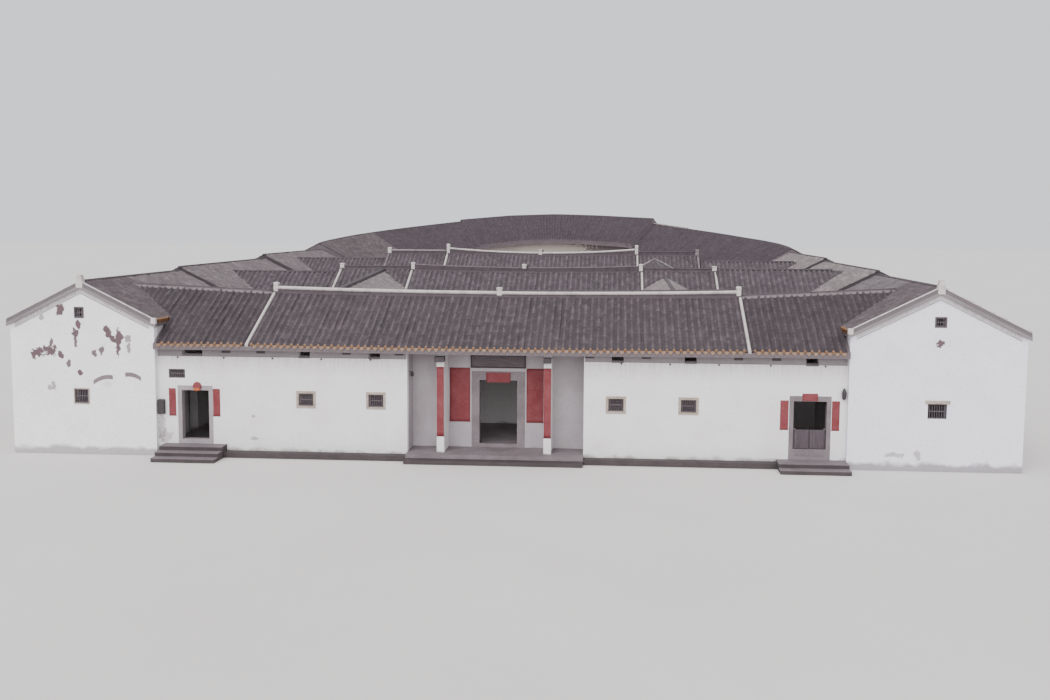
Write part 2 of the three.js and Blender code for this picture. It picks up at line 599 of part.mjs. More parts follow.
// The walls of a hall range, with their tops stepped under the roof blocks.
function hallWall(centre, side, outerWest, outerEast, halfDepth, depth) {
  const top = (block) => underside(block, halfDepth) - GAP;
  const end = FACADE_HALF - GAP;
  const outline = [
    [-end, 0], [end, 0], [end, top(outerEast)], [CENTRE_HALF, top(outerEast)], [CENTRE_HALF, top(side)],
    [HALL_HALF, top(side)], [HALL_HALF, top(centre)], [-HALL_HALF, top(centre)], [-HALL_HALF, top(side)],
    [-CENTRE_HALF, top(side)], [-CENTRE_HALF, top(outerWest)], [-end, top(outerWest)],
  ];
  return without(prism('y', outline, ...depth), [
    holeAcrossY(doorwayAt(0, HALL_DOOR), depth),
    ...[-1, 1].map((s) => holeAcrossY(doorwayAt(s * ALLEY_X, INNER_DOOR), depth)),
  ]);
}

// A hall range's roof beside its centre block, from the hall out to the side row.
function hallSideRoof(side, outer, row, index) {
  const s = row.sign;
  const inner = crossRoof(side, [[s * (HALL_HALF + GAP), side.ridge], [s * CENTRE_HALF, side.ridge]]);
  const cap = box(between(s * (HALL_HALF + GAP), s * CENTRE_HALF),
    [side.y - CAP_WIDTH / 2, side.y + CAP_WIDTH / 2], [side.ridge - ROOF, side.ridge + LOW_CAP_RISE]);
  const drop = Math.max(0, side.ridge - outer.ridge);
  const verge = vergeAt(side, s * (CENTRE_HALF - VERGE_WIDTH / 2), drop);
  const block = ridgeBlock(side, s * (CENTRE_HALF - RIDGE_BLOCK / 2), side.block);
  const ends = [CENTRE_HALF - VERGE_WIDTH / 2, FACADE_HALF + OUTER_RUN];
  const outerRoof = crossRoof(outer, ends.map((end) => [s * end, outer.ridge]));
  return largest(joined([inner, cap, verge, block, outerRoof]).subtract(sideRowEnvelope(row, index)));
}

function buildHallRanges() {
  const ranges = [
    { name: 'middle', index: 1, half: MIDDLE_HALF_DEPTH, centre: MIDDLE_CENTRE, side: MIDDLE_SIDE,
      outer: { west: MIDDLE_OUTER_WEST, east: MIDDLE_OUTER_EAST } },
    { name: 'rear', index: 2, half: REAR_HALF_DEPTH, centre: REAR_CENTRE, side: REAR_SIDE,
      outer: { west: REAR_OUTER, east: REAR_OUTER } },
  ];
  for (const { name, index, half, centre, side, outer } of ranges) {
    place(`${name}_roof_centre`, centreRoof(centre, HALL_HALF), COLOURS.tile);
    for (const [end, row] of Object.entries(SIDE_ROWS)) {
      place(`${name}_roof_${end}`, hallSideRoof(side, outer[end], row, index), COLOURS.tile);
    }
    const roofs = ['centre', 'west', 'east'].map((end) => `${name}_roof_${end}`);
    const faces = { front: centre.y - half, rear: centre.y + half - WALL };
    for (const [where, face] of Object.entries(faces)) {
      const depth = [face, face + WALL];
      const wall = hallWall(centre, side, outer.west, outer.east, half, depth);
      place(`${name}_hall_${where}_wall`, clearOf(wall, roofs), COLOURS.plaster);
    }
  }
}

// A gallery: a small roof along the courtyard on two walls, cut to fit the ranges it joins.
function gallery(layout, s, [from, to], [yFront, yBack], envelopes) {
  const { x } = layout;
  const outline = (ridge) => chevron(x, GALLERY_REACH, ridge, ridge - GALLERY_PITCH * GALLERY_REACH);
  const ys = [from, to];
  const roof = loft(layout.ridges.map(outline), (u, v, i) => [u, ys[i], v]);
  const top = layout.ridges[0] - GALLERY_PITCH * GALLERY_HALF - ROOF / 2;
  const walls = [-1, 1].map((side) => box(
    between(x + side * GALLERY_HALF, x + side * (GALLERY_HALF - GALLERY_WALL)),
    [yFront + GAP, yBack - GAP], [0, top]));
  const doorY = (yFront + yBack) / 2;
  const courtSide = x - s * GALLERY_HALF;
  const door = box([courtSide - GALLERY_WALL - PAST, courtSide + GALLERY_WALL + PAST],
    [doorY - INNER_DOOR.width / 2, doorY + INNER_DOOR.width / 2], [-PAST, INNER_DOOR.head]);
  return largest(without(joined([roof, ...walls]), [door, ...envelopes]));
}

function buildGalleries() {
  for (const [name, { sign }] of Object.entries(SIDE_ROWS)) {
    const span = between(sign * RECESS_HALF, sign * (CENTRE_HALF + M));
    const front = crossEnvelope(FRONT_CENTRE, FRONT_RIDGE_Y, span);
    const middle = crossEnvelope(MIDDLE_SIDE, MIDDLE_HALF_DEPTH, span);
    const rear = crossEnvelope(REAR_SIDE, REAR_HALF_DEPTH, span);
    const roofsOf = (range) => [`${range}_roof_centre`, `${range}_roof_${name}`];
    const frontGallery = gallery(GALLERIES[name].front, sign, [FRONT.y + CAP_WIDTH / 2 + GAP, MIDDLE.y],
      [FRONT_DEPTH, MIDDLE.y - MIDDLE_HALF_DEPTH], [front, middle]);
    const frontRoofs = [...roofsOf('front'), ...roofsOf('middle')];
    place(`front_gallery_${name}`, largest(clearOf(frontGallery, frontRoofs)), COLOURS.tile);
    const rearGallery = gallery(GALLERIES[name].rear, sign, [MIDDLE.y + CAP_WIDTH / 2 + GAP, REAR.y],
      [MIDDLE.y + MIDDLE_HALF_DEPTH, REAR.y - REAR_HALF_DEPTH], [middle, rear]);
    const rearRoofs = [...roofsOf('middle'), ...roofsOf('rear')];
    place(`rear_gallery_${name}`, largest(clearOf(rearGallery, rearRoofs)), COLOURS.tile);
  }
}

// Heights between the named angles of the horseshoe's ridge, in model millimetres.
function ridgeHeight(profile, angle) {
  const next = Math.max(1, profile.findIndex(([a]) => a >= angle));
  const [[a0, h0], [a1, h1]] = [profile[next - 1], profile[next]];
  return (h0 + ((h1 - h0) * (angle - a0)) / (a1 - a0)) * M;
}

// Angles from one end of a stretch to the other, in steps of a few degrees.
function anglesBetween(from, to) {
  const steps = Math.ceil((to - from) / RING_STEP_DEGREES);
  return Array.from({ length: steps + 1 }, (_, i) => from + ((to - from) * i) / steps);
}

function onRing(radius, angle) {
  const turn = THREE.MathUtils.degToRad(angle);
  return [RING.x + radius * Math.cos(turn), RING.y + radius * Math.sin(turn)];
}

const RING_GAP_ANGLE = THREE.MathUtils.radToDeg(GAP / RING.inner);

function ringRoof(profile, [from, to], drop = 0) {
  const angles = anglesBetween(from, to);
  const outlines = angles.map((angle) => {
    const ridge = ridgeHeight(profile, angle);
    const inEave = ridge - RING_PITCH * RING_IN_REACH;
    const outEave = ridge - RING_PITCH * RING_OUT_REACH;
    const under = ROOF + drop;
    return [
      [RING.ridge - RING_IN_REACH, inEave], [RING.ridge, ridge], [RING.ridge + RING_OUT_REACH, outEave],
      [RING.ridge + RING_OUT_REACH, outEave - under], [RING.ridge, ridge - under],
      [RING.ridge - RING_IN_REACH, inEave - under],
    ];
  });
  return loft(outlines, (u, v, i) => [...onRing(u, angles[i]), v]);
}

// A curved wall under the horseshoe's roof, between two angles. Its top steps where the roof steps.
function ringWall([inner, outer], roofFace, [start, end]) {
  const eastRib = EAST_STEP_ANGLE + RIB_ANGLE + 2 * RING_GAP_ANGLE;
  const westRib = WEST_STEP_ANGLE - RIB_ANGLE;
  const stretches = [
    [RIDGE_EAST, 0, eastRib],
    [RIDGE_CENTRE, eastRib + RING_GAP_ANGLE, westRib],
    [RIDGE_WEST, westRib + RING_GAP_ANGLE, 180],
  ];
  const covered = stretches.filter(([, from, to]) => to > start && from < end);
  const stations = covered.flatMap(([profile, from, to]) => {
    const angles = anglesBetween(Math.max(from, start), Math.min(to, end));
    return angles.map((angle) => {
      const held = Math.min(Math.max(angle, profile[0][0]), profile.at(-1)[0]);
      return { angle, top: ridgeHeight(profile, held) };
    });
  });
  const outlines = stations.map(({ top }) => {
    const height = top - RING_PITCH * Math.abs(RING.ridge - roofFace) - ROOF - 4 * GAP;
    return [[inner, 0], [outer, 0], [outer, height], [inner, height]];
  });
  return loft(outlines, (u, v, i) => [...onRing(u, stations[i].angle), v]);
}

function ringHole(radius, angle, { width, sill, height }) {
  const cut = new THREE.BoxGeometry(WALL + 2 * PAST, width, height);
  cut.rotateZ(THREE.MathUtils.degToRad(angle));
  cut.translate(...onRing(radius, angle), sill + height / 2);
  return solidOf(cut);
}

function buildHorseshoe() {
  const eastDrop = (RIDGE_EAST[0][1] * M) - SIDE_ROWS.east.ridges[2];
  const westDrop = (RIDGE_WEST.at(-1)[1] * M) - SIDE_ROWS.west.ridges[2];
  const eastStep = (RIDGE_CENTRE[0][1] - RIDGE_EAST.at(-1)[1]) * M;
  const westStep = (RIDGE_CENTRE.at(-1)[1] - RIDGE_WEST[0][1]) * M;
  const ends = [EAST_STEP_ANGLE, WEST_STEP_ANGLE];
  place('horseshoe_roof_east', ringRoof(RIDGE_EAST, [0, ends[0] - RING_GAP_ANGLE])
    .add(ringRoof(RIDGE_EAST, [0, RIB_ANGLE], eastDrop)), COLOURS.tile);
  place('horseshoe_roof_centre', joined([
    ringRoof(RIDGE_CENTRE, ends),
    ringRoof(RIDGE_CENTRE, [ends[0], ends[0] + RIB_ANGLE], eastStep),
    ringRoof(RIDGE_CENTRE, [ends[1] - RIB_ANGLE, ends[1]], westStep),
  ]), COLOURS.tile);
  place('horseshoe_roof_west', ringRoof(RIDGE_WEST, [ends[1] + RING_GAP_ANGLE, 180])
    .add(ringRoof(RIDGE_WEST, [180 - RIB_ANGLE, 180], westDrop)), COLOURS.tile);

  const doors = RING_DOOR_ANGLES.map((angle) => ringHole(RING.inner + WALL / 2, angle,
    { width: INNER_DOOR.width, sill: -PAST, height: INNER_DOOR.head + PAST }));
  const windows = RING_WINDOW_ANGLES.map((angle) => ringHole(RING.outer - WALL / 2, angle, OUTER_WINDOW));
  const roofs = ['east', 'centre', 'west'].map((end) => `horseshoe_roof_${end}`);
  const stretches = { east: [0, WALL_SPLIT_ANGLE - RING_GAP_ANGLE], west: [WALL_SPLIT_ANGLE, 180] };
  for (const [end, stretch] of Object.entries(stretches)) {
    const inner = without(ringWall([RING.inner, RING.inner + WALL], RING.inner, stretch), doors);
    const outer = without(ringWall([RING.outer - WALL, RING.outer], RING.outer, stretch), windows);
    place(`horseshoe_inner_wall_${end}`, largest(clearOf(inner, roofs)), COLOURS.plaster);
    place(`horseshoe_outer_wall_${end}`, largest(clearOf(outer, roofs)), COLOURS.plaster);
  }
}

buildFrontRoofs();
buildFrontWalls();
buildEntrance();
buildEastGate();
buildGroundWork();
buildSideRows();
buildHallRanges();
buildGalleries();
buildHorseshoe();

export default village;
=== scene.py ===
"""The looks of a walled village, dressed round its packed half-size model.

Lengths here are metres of the real village, with the ground at 0, and every piece is written into
its mesh at half size. x runs to the right along the facade, y to the back, z up.
"""
from functools import partial
import bpy
import numpy as np
from mathutils import Matrix


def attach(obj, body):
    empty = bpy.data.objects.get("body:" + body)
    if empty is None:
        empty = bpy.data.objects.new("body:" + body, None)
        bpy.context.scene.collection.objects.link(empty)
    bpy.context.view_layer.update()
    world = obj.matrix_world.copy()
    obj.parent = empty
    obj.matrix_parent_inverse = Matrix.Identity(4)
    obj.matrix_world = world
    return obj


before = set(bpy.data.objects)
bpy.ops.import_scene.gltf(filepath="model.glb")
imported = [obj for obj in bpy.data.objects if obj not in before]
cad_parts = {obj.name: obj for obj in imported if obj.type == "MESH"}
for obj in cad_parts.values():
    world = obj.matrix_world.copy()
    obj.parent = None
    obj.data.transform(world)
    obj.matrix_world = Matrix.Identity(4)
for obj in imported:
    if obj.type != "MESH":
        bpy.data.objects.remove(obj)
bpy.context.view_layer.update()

HALF = 0.5
NOWHERE = -99.0
CHANCE = np.random.default_rng(11)
ENDS = ((-1, "west"), (1, "east"))
FACINGS = ((-1, "front"), (1, "back"))

# The front range: its ridge line and reach, where its centre and facade end, the eave's height, and
# how far the centre's and the wings' ridges rise over it and the centre sags.
FRONT_Y, FRONT_REACH = 3.79, 4.21
CENTRE_HALF, FACADE_HALF = 9.98, 13.77
FRONT_EAVE, CENTRE_RISE, WING_UP = 4.57, 1.89, 1.85
EAVE_SAG, RISE_SAG = 0.05, 0.03
WING_RISE_RUN = 6.99
WING_RISE = {"west": 0.30, "east": 0.38}

# Hall ranges: ridge y, reach, and ridge and eave heights of the centre, side and outer parts.
HALL_HALF = 6.15
HALLS = {
    "middle": {"y": 16.33, "reach": 4.62, "centre": (6.98, 4.78), "side": (7.02, 4.84),
               "west": (6.8, 4.7), "east": (7.12, 4.8)},
    "rear": {"y": 29.84, "reach": 4.52, "centre": (7.52, 5.3), "side": (7.48, 5.28),
             "west": (7.12, 5.05), "east": (7.12, 5.05)},
}
HALL_SAG = 0.07

# Side rows: sign of x, ridge x, half width, and the ridge height of each section.
SECTIONS_Y = (-0.37, 10.8, 25.0, 39.0)
SIDE_EAVE_REACH = 0.1
ROWS = {
    "west": {"sign": -1, "x": -16.765, "half": 2.995, "ridges": (7.03, 7.21, 7.46)},
    "east": {"sign": 1, "x": 17.10, "half": 3.33, "ridges": (7.12, 7.31, 7.5)},
}
ROW_SLOPE = 0.5

# Galleries: x of the ridge, its ends in y and its heights there.
GALLERIES = {
    "front_west": (-7.66, 3.94, 16.33, 6.3, 6.9), "front_east": (7.3, 3.94, 16.33, 6.5, 6.68),
    "rear_west": (-7.53, 16.48, 29.84, 6.7, 6.9), "rear_east": (7.2, 16.48, 29.84, 7.1, 7.22),
}
GALLERY_REACH = 2.2

# The horseshoe: centre, ridge radius, reaches, slope, and ridge heights against the angle.
RING_X, RING_Y, RING_RADIUS, RING_IN, RING_OUT, RING_SLOPE = 0.15, 39.0, 17.0, 4.1, 3.4, 0.52
RING_LIFT = 0.02
RING_HEIGHTS = {
    "east": ((0, 31, 48, 63), (7.75, 8.42, 8.93, 9.45)),
    "centre": ((63, 80, 92, 105, 120), (9.9, 10.13, 10.22, 10.08, 9.7)),
    "west": ((120, 133, 148, 166, 180), (9.55, 9.15, 8.71, 8.22, 7.9)),
}

# Clay tiles: rows 0.27 m apart, half-round covers with flat channels between them.
ROW_PITCH, TILE_LENGTH, COVER_RISE, TILE_LIP, TILE_BED = 0.27, 0.25, 0.06, 0.01, 0.012
PROFILE_AT = np.array([-0.27, -0.18, -0.06, 0.06, 0.18, 0.27])
PROFILE_RISE = np.array([0.0, 0.7, 1.0, 1.0, 0.7, 0.0])
TILE_GAP, EAVE_DROP, VALLEY_SINK = 0.006, 0.03, 0.05
CHANNEL_LAP = 0.09

# How far rows and tiles lie out of line, and each row's long and short sideways waves: their width
# in metres and their turn for each metre down.
SHIFT_SPREAD, LOOSE_SPREAD, PHASES = 0.01, 0.009, 6.28
LONG_WAVE, LONG_TURNS, SHORT_WAVE, SHORT_TURNS = 0.014, 1.7, 0.007, 5.3

# Tiles stop short of a verge and start again past it. The outermost tiles run on under the side
# rows' roofs, and eave ends stop where the facade does.
SHORT_OF_VERGE, PAST_VERGE, UNDER_ROW = 0.12, 0.03, 3.0
LAST_END = FACADE_HALF - 0.05


# Meshes

def points(x, y, z):
    """Points from their x, y and z, each a number or an array."""
    return np.stack(np.broadcast_arrays(x, y, z), axis=-1).astype(float)


def ring_quads(rings, k):
    """Quads between rings of k points each, one ring after another."""
    start, ring = np.arange(rings - 1)[:, None] * k, np.arange(k)
    here, beside = (start + ring).ravel(), (start + (ring + 1) % k).ravel()
    return np.stack([here, beside, beside + k, here + k], axis=1)


def grid_quads(rows, columns):
    """Quads over a grid of points."""
    index = np.arange(rows * columns).reshape(rows, columns)
    return np.stack([index[:-1, :-1], index[1:, :-1], index[1:, 1:], index[:-1, 1:]], axis=-1)


def put_mesh(name, places, face_sets, finish, body="village", smooth=False, uv=None, slot=None):
    """One mesh from points in real metres and arrays of faces, riding on a body. Its slot, the finish's or
    another that is given, is not used."""
    places = np.asarray(places, float).reshape(-1, 3)
    faces = [face for faces in face_sets for face in np.asarray(faces).tolist()]
    mesh = bpy.data.meshes.new(name)
    mesh.from_pydata((places * HALF).tolist(), [], faces)
    if uv is not None:
        corners = np.empty(len(mesh.loops), np.int64)
        mesh.loops.foreach_get("vertex_index", corners)
        layer = mesh.uv_layers.new(name="rows")
        layer.data.foreach_set("uv", np.asarray(uv, np.float32)[corners].ravel())
    mesh.polygons.foreach_set("use_smooth", np.full(len(mesh.polygons), smooth))
    mesh.materials.append(finish.material)
    piece = bpy.data.objects.new(name, mesh)
    bpy.context.scene.collection.objects.link(piece)
    slot = slot or finish.slot
    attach(piece, body)
    return piece


def blocks(name, spans, finish, worn=0.012, body="village"):
    """Boxes with worn edges, each given as its lowest and highest x, y and z: eight corners and six
    faces each."""
    spans = np.asarray(spans, float).reshape(-1, 3, 2)
    picks = np.array([[0, 0, 0], [1, 0, 0], [1, 1, 0], [0, 1, 0], [0, 0, 1], [1, 0, 1], [1, 1, 1], [0, 1, 1]])
    corners = np.stack([spans[:, axis][:, picks[:, axis]] for axis in range(3)], axis=-1)
    sides = np.array([[0, 3, 2, 1], [4, 5, 6, 7], [0, 1, 5, 4], [1, 2, 6, 5], [2, 3, 7, 6], [3, 0, 4, 7]])
    faces = (sides[None] + 8 * np.arange(len(spans))[:, None, None]).reshape(-1, 4)
    bevel = put_mesh(name, corners, [faces], finish, body).modifiers.new("worn_edges", "BEVEL")
    bevel.width, bevel.segments, bevel.limit_method = worn * HALF, 2, "ANGLE"


def carried(name, path, profile, finish, sizes=None, smooth=True, slot=None):
    """A closed profile, or one for each point, carried along a path: each ring is the path's point,
    plus the profile's first number sideways and its second upwards, times the size there. Both ends
    are closed."""
    profile = np.asarray(profile, float)
    profile = np.broadcast_to(profile, (len(path), *profile.shape[-2:]))
    sizes = np.ones(len(path)) if sizes is None else sizes
    ahead = np.gradient(path, axis=0)[:, :2]
    ahead /= np.linalg.norm(ahead, axis=1, keepdims=True)
    side = points(-ahead[:, 1], ahead[:, 0], 0)
    up = np.array([0, 0, 1.0])
    scaled = profile * sizes[:, None, None]
    rings = path[:, None] + side[:, None] * scaled[..., :1] + up * scaled[..., 1:]
    count, k = profile.shape[:2]
    ring = np.arange(k)
    sides, caps = ring_quads(count, k), np.array([ring[::-1], ring + (count - 1) * k])
    first, second = profile[0].T
    area = np.sum(first * np.roll(second, -1) - np.roll(first, -1) * second)
    if area > 0:
        sides, caps = sides[:, ::-1], caps[:, ::-1]
    put_mesh(name, rings, [sides, caps], finish, smooth=smooth, slot=slot)


def stacked(name, centre, levels, finish, power=4.0, sides=20):
    """Level rings about a point, one above the other: each is a rounded oblong, x = a cos t and
    y = b sin t with both drawn out to the corners by a power, and the ends are closed."""
    turn = np.linspace(0, 2 * np.pi, sides, endpoint=False)
    square = np.stack([np.sign(np.cos(turn)) * np.abs(np.cos(turn)) ** (2 / power),
                       np.sign(np.sin(turn)) * np.abs(np.sin(turn)) ** (2 / power)], axis=1)
    levels = np.asarray(levels, float)
    rings = np.zeros((len(levels), sides, 3))
    rings[..., :2] = square[None] * levels[:, None, :2]
    rings[..., 2] = levels[:, 2:3]
    ring = np.arange(sides)
    caps = np.array([ring[::-1], ring + (len(levels) - 1) * sides])
    put_mesh(name, rings + np.asarray(centre, float), [ring_quads(len(levels), sides), caps], finish)


# Roof forms

def slope_height(distance, reach, ridge, eave):
    """A roof falls evenly from its ridge to its eave."""
    return ridge - (ridge - eave) * distance / reach


def front_height(x, y):
    """The centre's ridge and eave sag as parabolas. A wing rises outwards along its ridge and is
    level along its eave: two planes, that meet on a line from the ridge's far end to the eave's near
    end."""
    up = 1 - np.abs(y - FRONT_Y) / FRONT_REACH
    dip = 1 - (x / CENTRE_HALF) ** 2
    centre = FRONT_EAVE - EAVE_SAG * dip + (CENTRE_RISE - RISE_SAG * dip) * up
    along = (np.abs(x) - CENTRE_HALF) / WING_RISE_RUN
    rise = np.where(x < 0, WING_RISE["west"], WING_RISE["east"]) * np.minimum(along, up)
    return np.where(np.abs(x) <= CENTRE_HALF, centre, FRONT_EAVE + WING_UP * up + rise)


def front_ridge(x):
    return front_height(x, FRONT_Y)


def hall_ridge(hall, x):
    """The centre sags as a parabola; the parts beside it are level."""
    centre = hall["centre"][0] - HALL_SAG * (1 - (x / HALL_HALF) ** 2)
    outer = np.where(x < 0, hall["west"][0], hall["east"][0])
    beside = np.where(np.abs(x) <= CENTRE_HALF, hall["side"][0], outer)
    return np.where(np.abs(x) <= HALL_HALF, centre, beside)


def hall_height(hall, x, y):
    outer = np.where(x < 0, hall["west"][1], hall["east"][1])
    inner = np.where(np.abs(x) <= HALL_HALF, hall["centre"][1], hall["side"][1])
    eave = np.where(np.abs(x) <= CENTRE_HALF, inner, outer)
    return slope_height(np.abs(y - hall["y"]), hall["reach"], hall_ridge(hall, x), eave)


def row_height(row, section, x, y):
    return row["ridges"][section] - ROW_SLOPE * np.abs(x - row["x"]) + 0 * y


def gallery_height(gallery, x, y):
    ridge_x, y0, y1, z0, z1 = gallery
    return z0 + (z1 - z0) * (y - y0) / (y1 - y0) - ROW_SLOPE * np.abs(x - ridge_x)


def ring_height(part, x, y):
    """The ridge's height by the angle, less the slope times the distance from the ridge."""
    angle = np.degrees(np.arctan2(y - RING_Y, x - RING_X))
    away = np.abs(np.hypot(x - RING_X, y - RING_Y) - RING_RADIUS)
    return np.interp(angle, *RING_HEIGHTS[part]) - RING_SLOPE * away + RING_LIFT


def within(height, inside):
    """A roof's height where inside(x, y) holds, and far below everything elsewhere."""
    return lambda x, y: np.where(inside(x, y), height(x, y), NOWHERE)


def hall_roof(hall):
    return within(partial(hall_height, hall), lambda x, y: np.abs(y - hall["y"]) < hall["reach"])


def row_roof(row, section):
    reach, first, last = row["half"] + SIDE_EAVE_REACH, SECTIONS_Y[section], SECTIONS_Y[section + 1]
    return within(partial(row_height, row, section),
                  lambda x, y: (np.abs(x - row["x"]) < reach) & (y > first) & (y <= last))


def gallery_roof(gallery):
    ridge_x, first, last = gallery[:3]
    return within(partial(gallery_height, gallery),
                  lambda x, y: (np.abs(x - ridge_x) < GALLERY_REACH) & (y > first) & (y < last))


FRONT_ROOF = within(front_height, lambda x, y: np.abs(y - FRONT_Y) < FRONT_REACH)
HALL_ROOFS = {name: hall_roof(hall) for name, hall in HALLS.items()}
ROW_ROOFS = {(name, section): row_roof(row, section) for name, row in ROWS.items() for section in range(3)}
GALLERY_ROOFS = {name: gallery_roof(gallery) for name, gallery in GALLERIES.items()}


# Materials

def linear(code):
    """An sRGB hex colour as the linear colour that shaders take."""
    parts = np.array([int(code[i:i + 2], 16) for i in (1, 3, 5)]) / 255
    return (*np.where(parts <= 0.04045, parts / 12.92, ((parts + 0.055) / 1.055) ** 2.4), 1.0)


class Finish:
    """A material with its nodes and shader, the place on the object in real metres, and the name of a slot.
    Colours are given as sRGB hex codes or as links."""

    def __init__(self, name, roughness, slot=None):
        self.material, self.slot = bpy.data.materials.new(name), slot
        self.material.use_nodes = True
        self.tree = self.material.node_tree
        self.shader = self.tree.nodes["Principled BSDF"]
        self.shader.inputs["Roughness"].default_value = roughness
        fill = {"Vector": self.add("ShaderNodeTexCoord").outputs["Object"], "Scale": (1 / HALF,) * 3}
        self.place = self.add("ShaderNodeMapping", fill).outputs["Vector"]

    def add(self, kind, fill=None, **settings):
        """Adds a node with its settings, and fills its inputs with values, colours or links."""
        made = self.tree.nodes.new(kind)
        for key, value in settings.items():
            setattr(made, key, value)
        for socket, value in (fill or {}).items():
            if isinstance(value, bpy.types.NodeSocket):
                self.tree.links.new(value, made.inputs[socket])
            else:
                made.inputs[socket].default_value = linear(value) if isinstance(value, str) else value
        return made

    def maths(self, operation, *values, clamp=False):
        fill = dict(enumerate(values))
        return self.add("ShaderNodeMath", fill, operation=operation, use_clamp=clamp).outputs[0]

    def ramp(self, value, low, high, top=1.0):
        """Rises from 0 at the low value to the top at the high one."""
        fill = {"Value": value, "From Min": low, "From Max": high, "To Max": top}
        return self.add("ShaderNodeMapRange", fill).outputs["Result"]

    def patches(self, size, low, high, detail=4.0, stretch=(1, 1, 1), place=None):
        """A 0 to 1 mask of soft patches of a real size, drawn out along an axis where stretch is
        over 1."""
        place = self.place if place is None else place
        fill = {"Vector": place, "Scale": tuple(1 / (size * s) for s in stretch)}
        scaled = self.add("ShaderNodeMapping", fill).outputs["Vector"]
        noise = self.add("ShaderNodeTexNoise", {"Vector": scaled, "Scale": 1.0, "Detail": detail})
        return self.ramp(noise.outputs["Fac"], low, high)

    def mix(self, share, first, second):
        """Two colours mixed by a share."""
        return self.add("ShaderNodeMix", {0: share, 6: first, 7: second}, data_type="RGBA").outputs[2]

    def tint(self, colour, mask, weight, second):
        """A second colour mixed in by a mask times a weight."""
        return self.mix(self.maths("MULTIPLY", mask, weight), colour, second)

    def coloured(self, colour):
        self.tree.links.new(colour, self.shader.inputs["Base Color"])
        return self

    def done(self, colour, height, depth):
        """Joins the colour to the shader, and turns a 0 to 1 height into relief of a real depth."""
        bump = self.add("ShaderNodeBump", {"Height": height, "Distance": depth * HALF, "Strength": 1.0})
        self.tree.links.new(bump.outputs["Normal"], self.shader.inputs["Normal"])
        return self.coloured(colour)


def lime_plaster(name, white, cloud, stain="#b3abac", eave=None, peels_and_shade=(), bare_and_shade="#604d52", damp="#857b7b"):
    """Limewashed lime plaster on earth walls: matt, cloudy, darker towards the eaves, where rain streaks lie
    over an even painted shade, with damp stains along its foot and, where it has come off, brownish red
    render under it. On the horseshoe's inner wall one patch is painted shade instead."""
    lime = Finish(name, 0.92, "lime_plaster")
    height = lime.add("ShaderNodeSeparateXYZ", {"Vector": lime.place}).outputs["Z"]
    colour = lime.mix(lime.patches(1.3, 0.42, 0.72), white, cloud)
    colour = lime.tint(colour, lime.patches(0.09, 0.52, 0.75), 0.35, stain)
    if eave:
        # Towards the eave: rain streaks over an even darkening, which is painted shade under the eave.
        streaks = lime.patches(0.1, 0.45, 0.8, stretch=(1, 1, 14))
        streaks_and_shade = lime.maths("ADD", streaks, 0.55, clamp=True)
        colour = lime.tint(colour, lime.ramp(height, eave - 1.1, eave, 0.75), streaks_and_shade, "#9b9295")
    lifted = lime.maths("MULTIPLY_ADD", lime.patches(0.5, 0.2, 0.8), 0.3, height)
    colour = lime.mix(lime.ramp(lifted, 0.5, 0.34, 0.75), colour, damp)
    relief = lime.patches(0.3, 0.3, 0.7)
    # Each patch mixes in the second colour: bare render on the gables, stains on the facade, painted shade on
    # the horseshoe's inner wall. It also lowers the relief.
    for x, z, half_x, half_z, strength in peels_and_shade:
        fill = {"Vector": lime.place, "Location": (-x / half_x, 0, -z / half_z),
                "Scale": (1 / half_x, 0, 1 / half_z)}
        moved = lime.add("ShaderNodeMapping", fill).outputs["Vector"]
        away = lime.add("ShaderNodeVectorMath", {0: moved}, operation="LENGTH").outputs["Value"]
        edge = lime.maths("MULTIPLY_ADD", lime.patches(0.16, 0.25, 0.75, 6.0), 1.3, away)
        off = lime.ramp(edge, 1.66, 1.46, strength)
        colour = lime.mix(off, colour, bare_and_shade)
        relief = lime.maths("SUBTRACT", relief, off)
    return lime.done(colour, relief, 0.012)


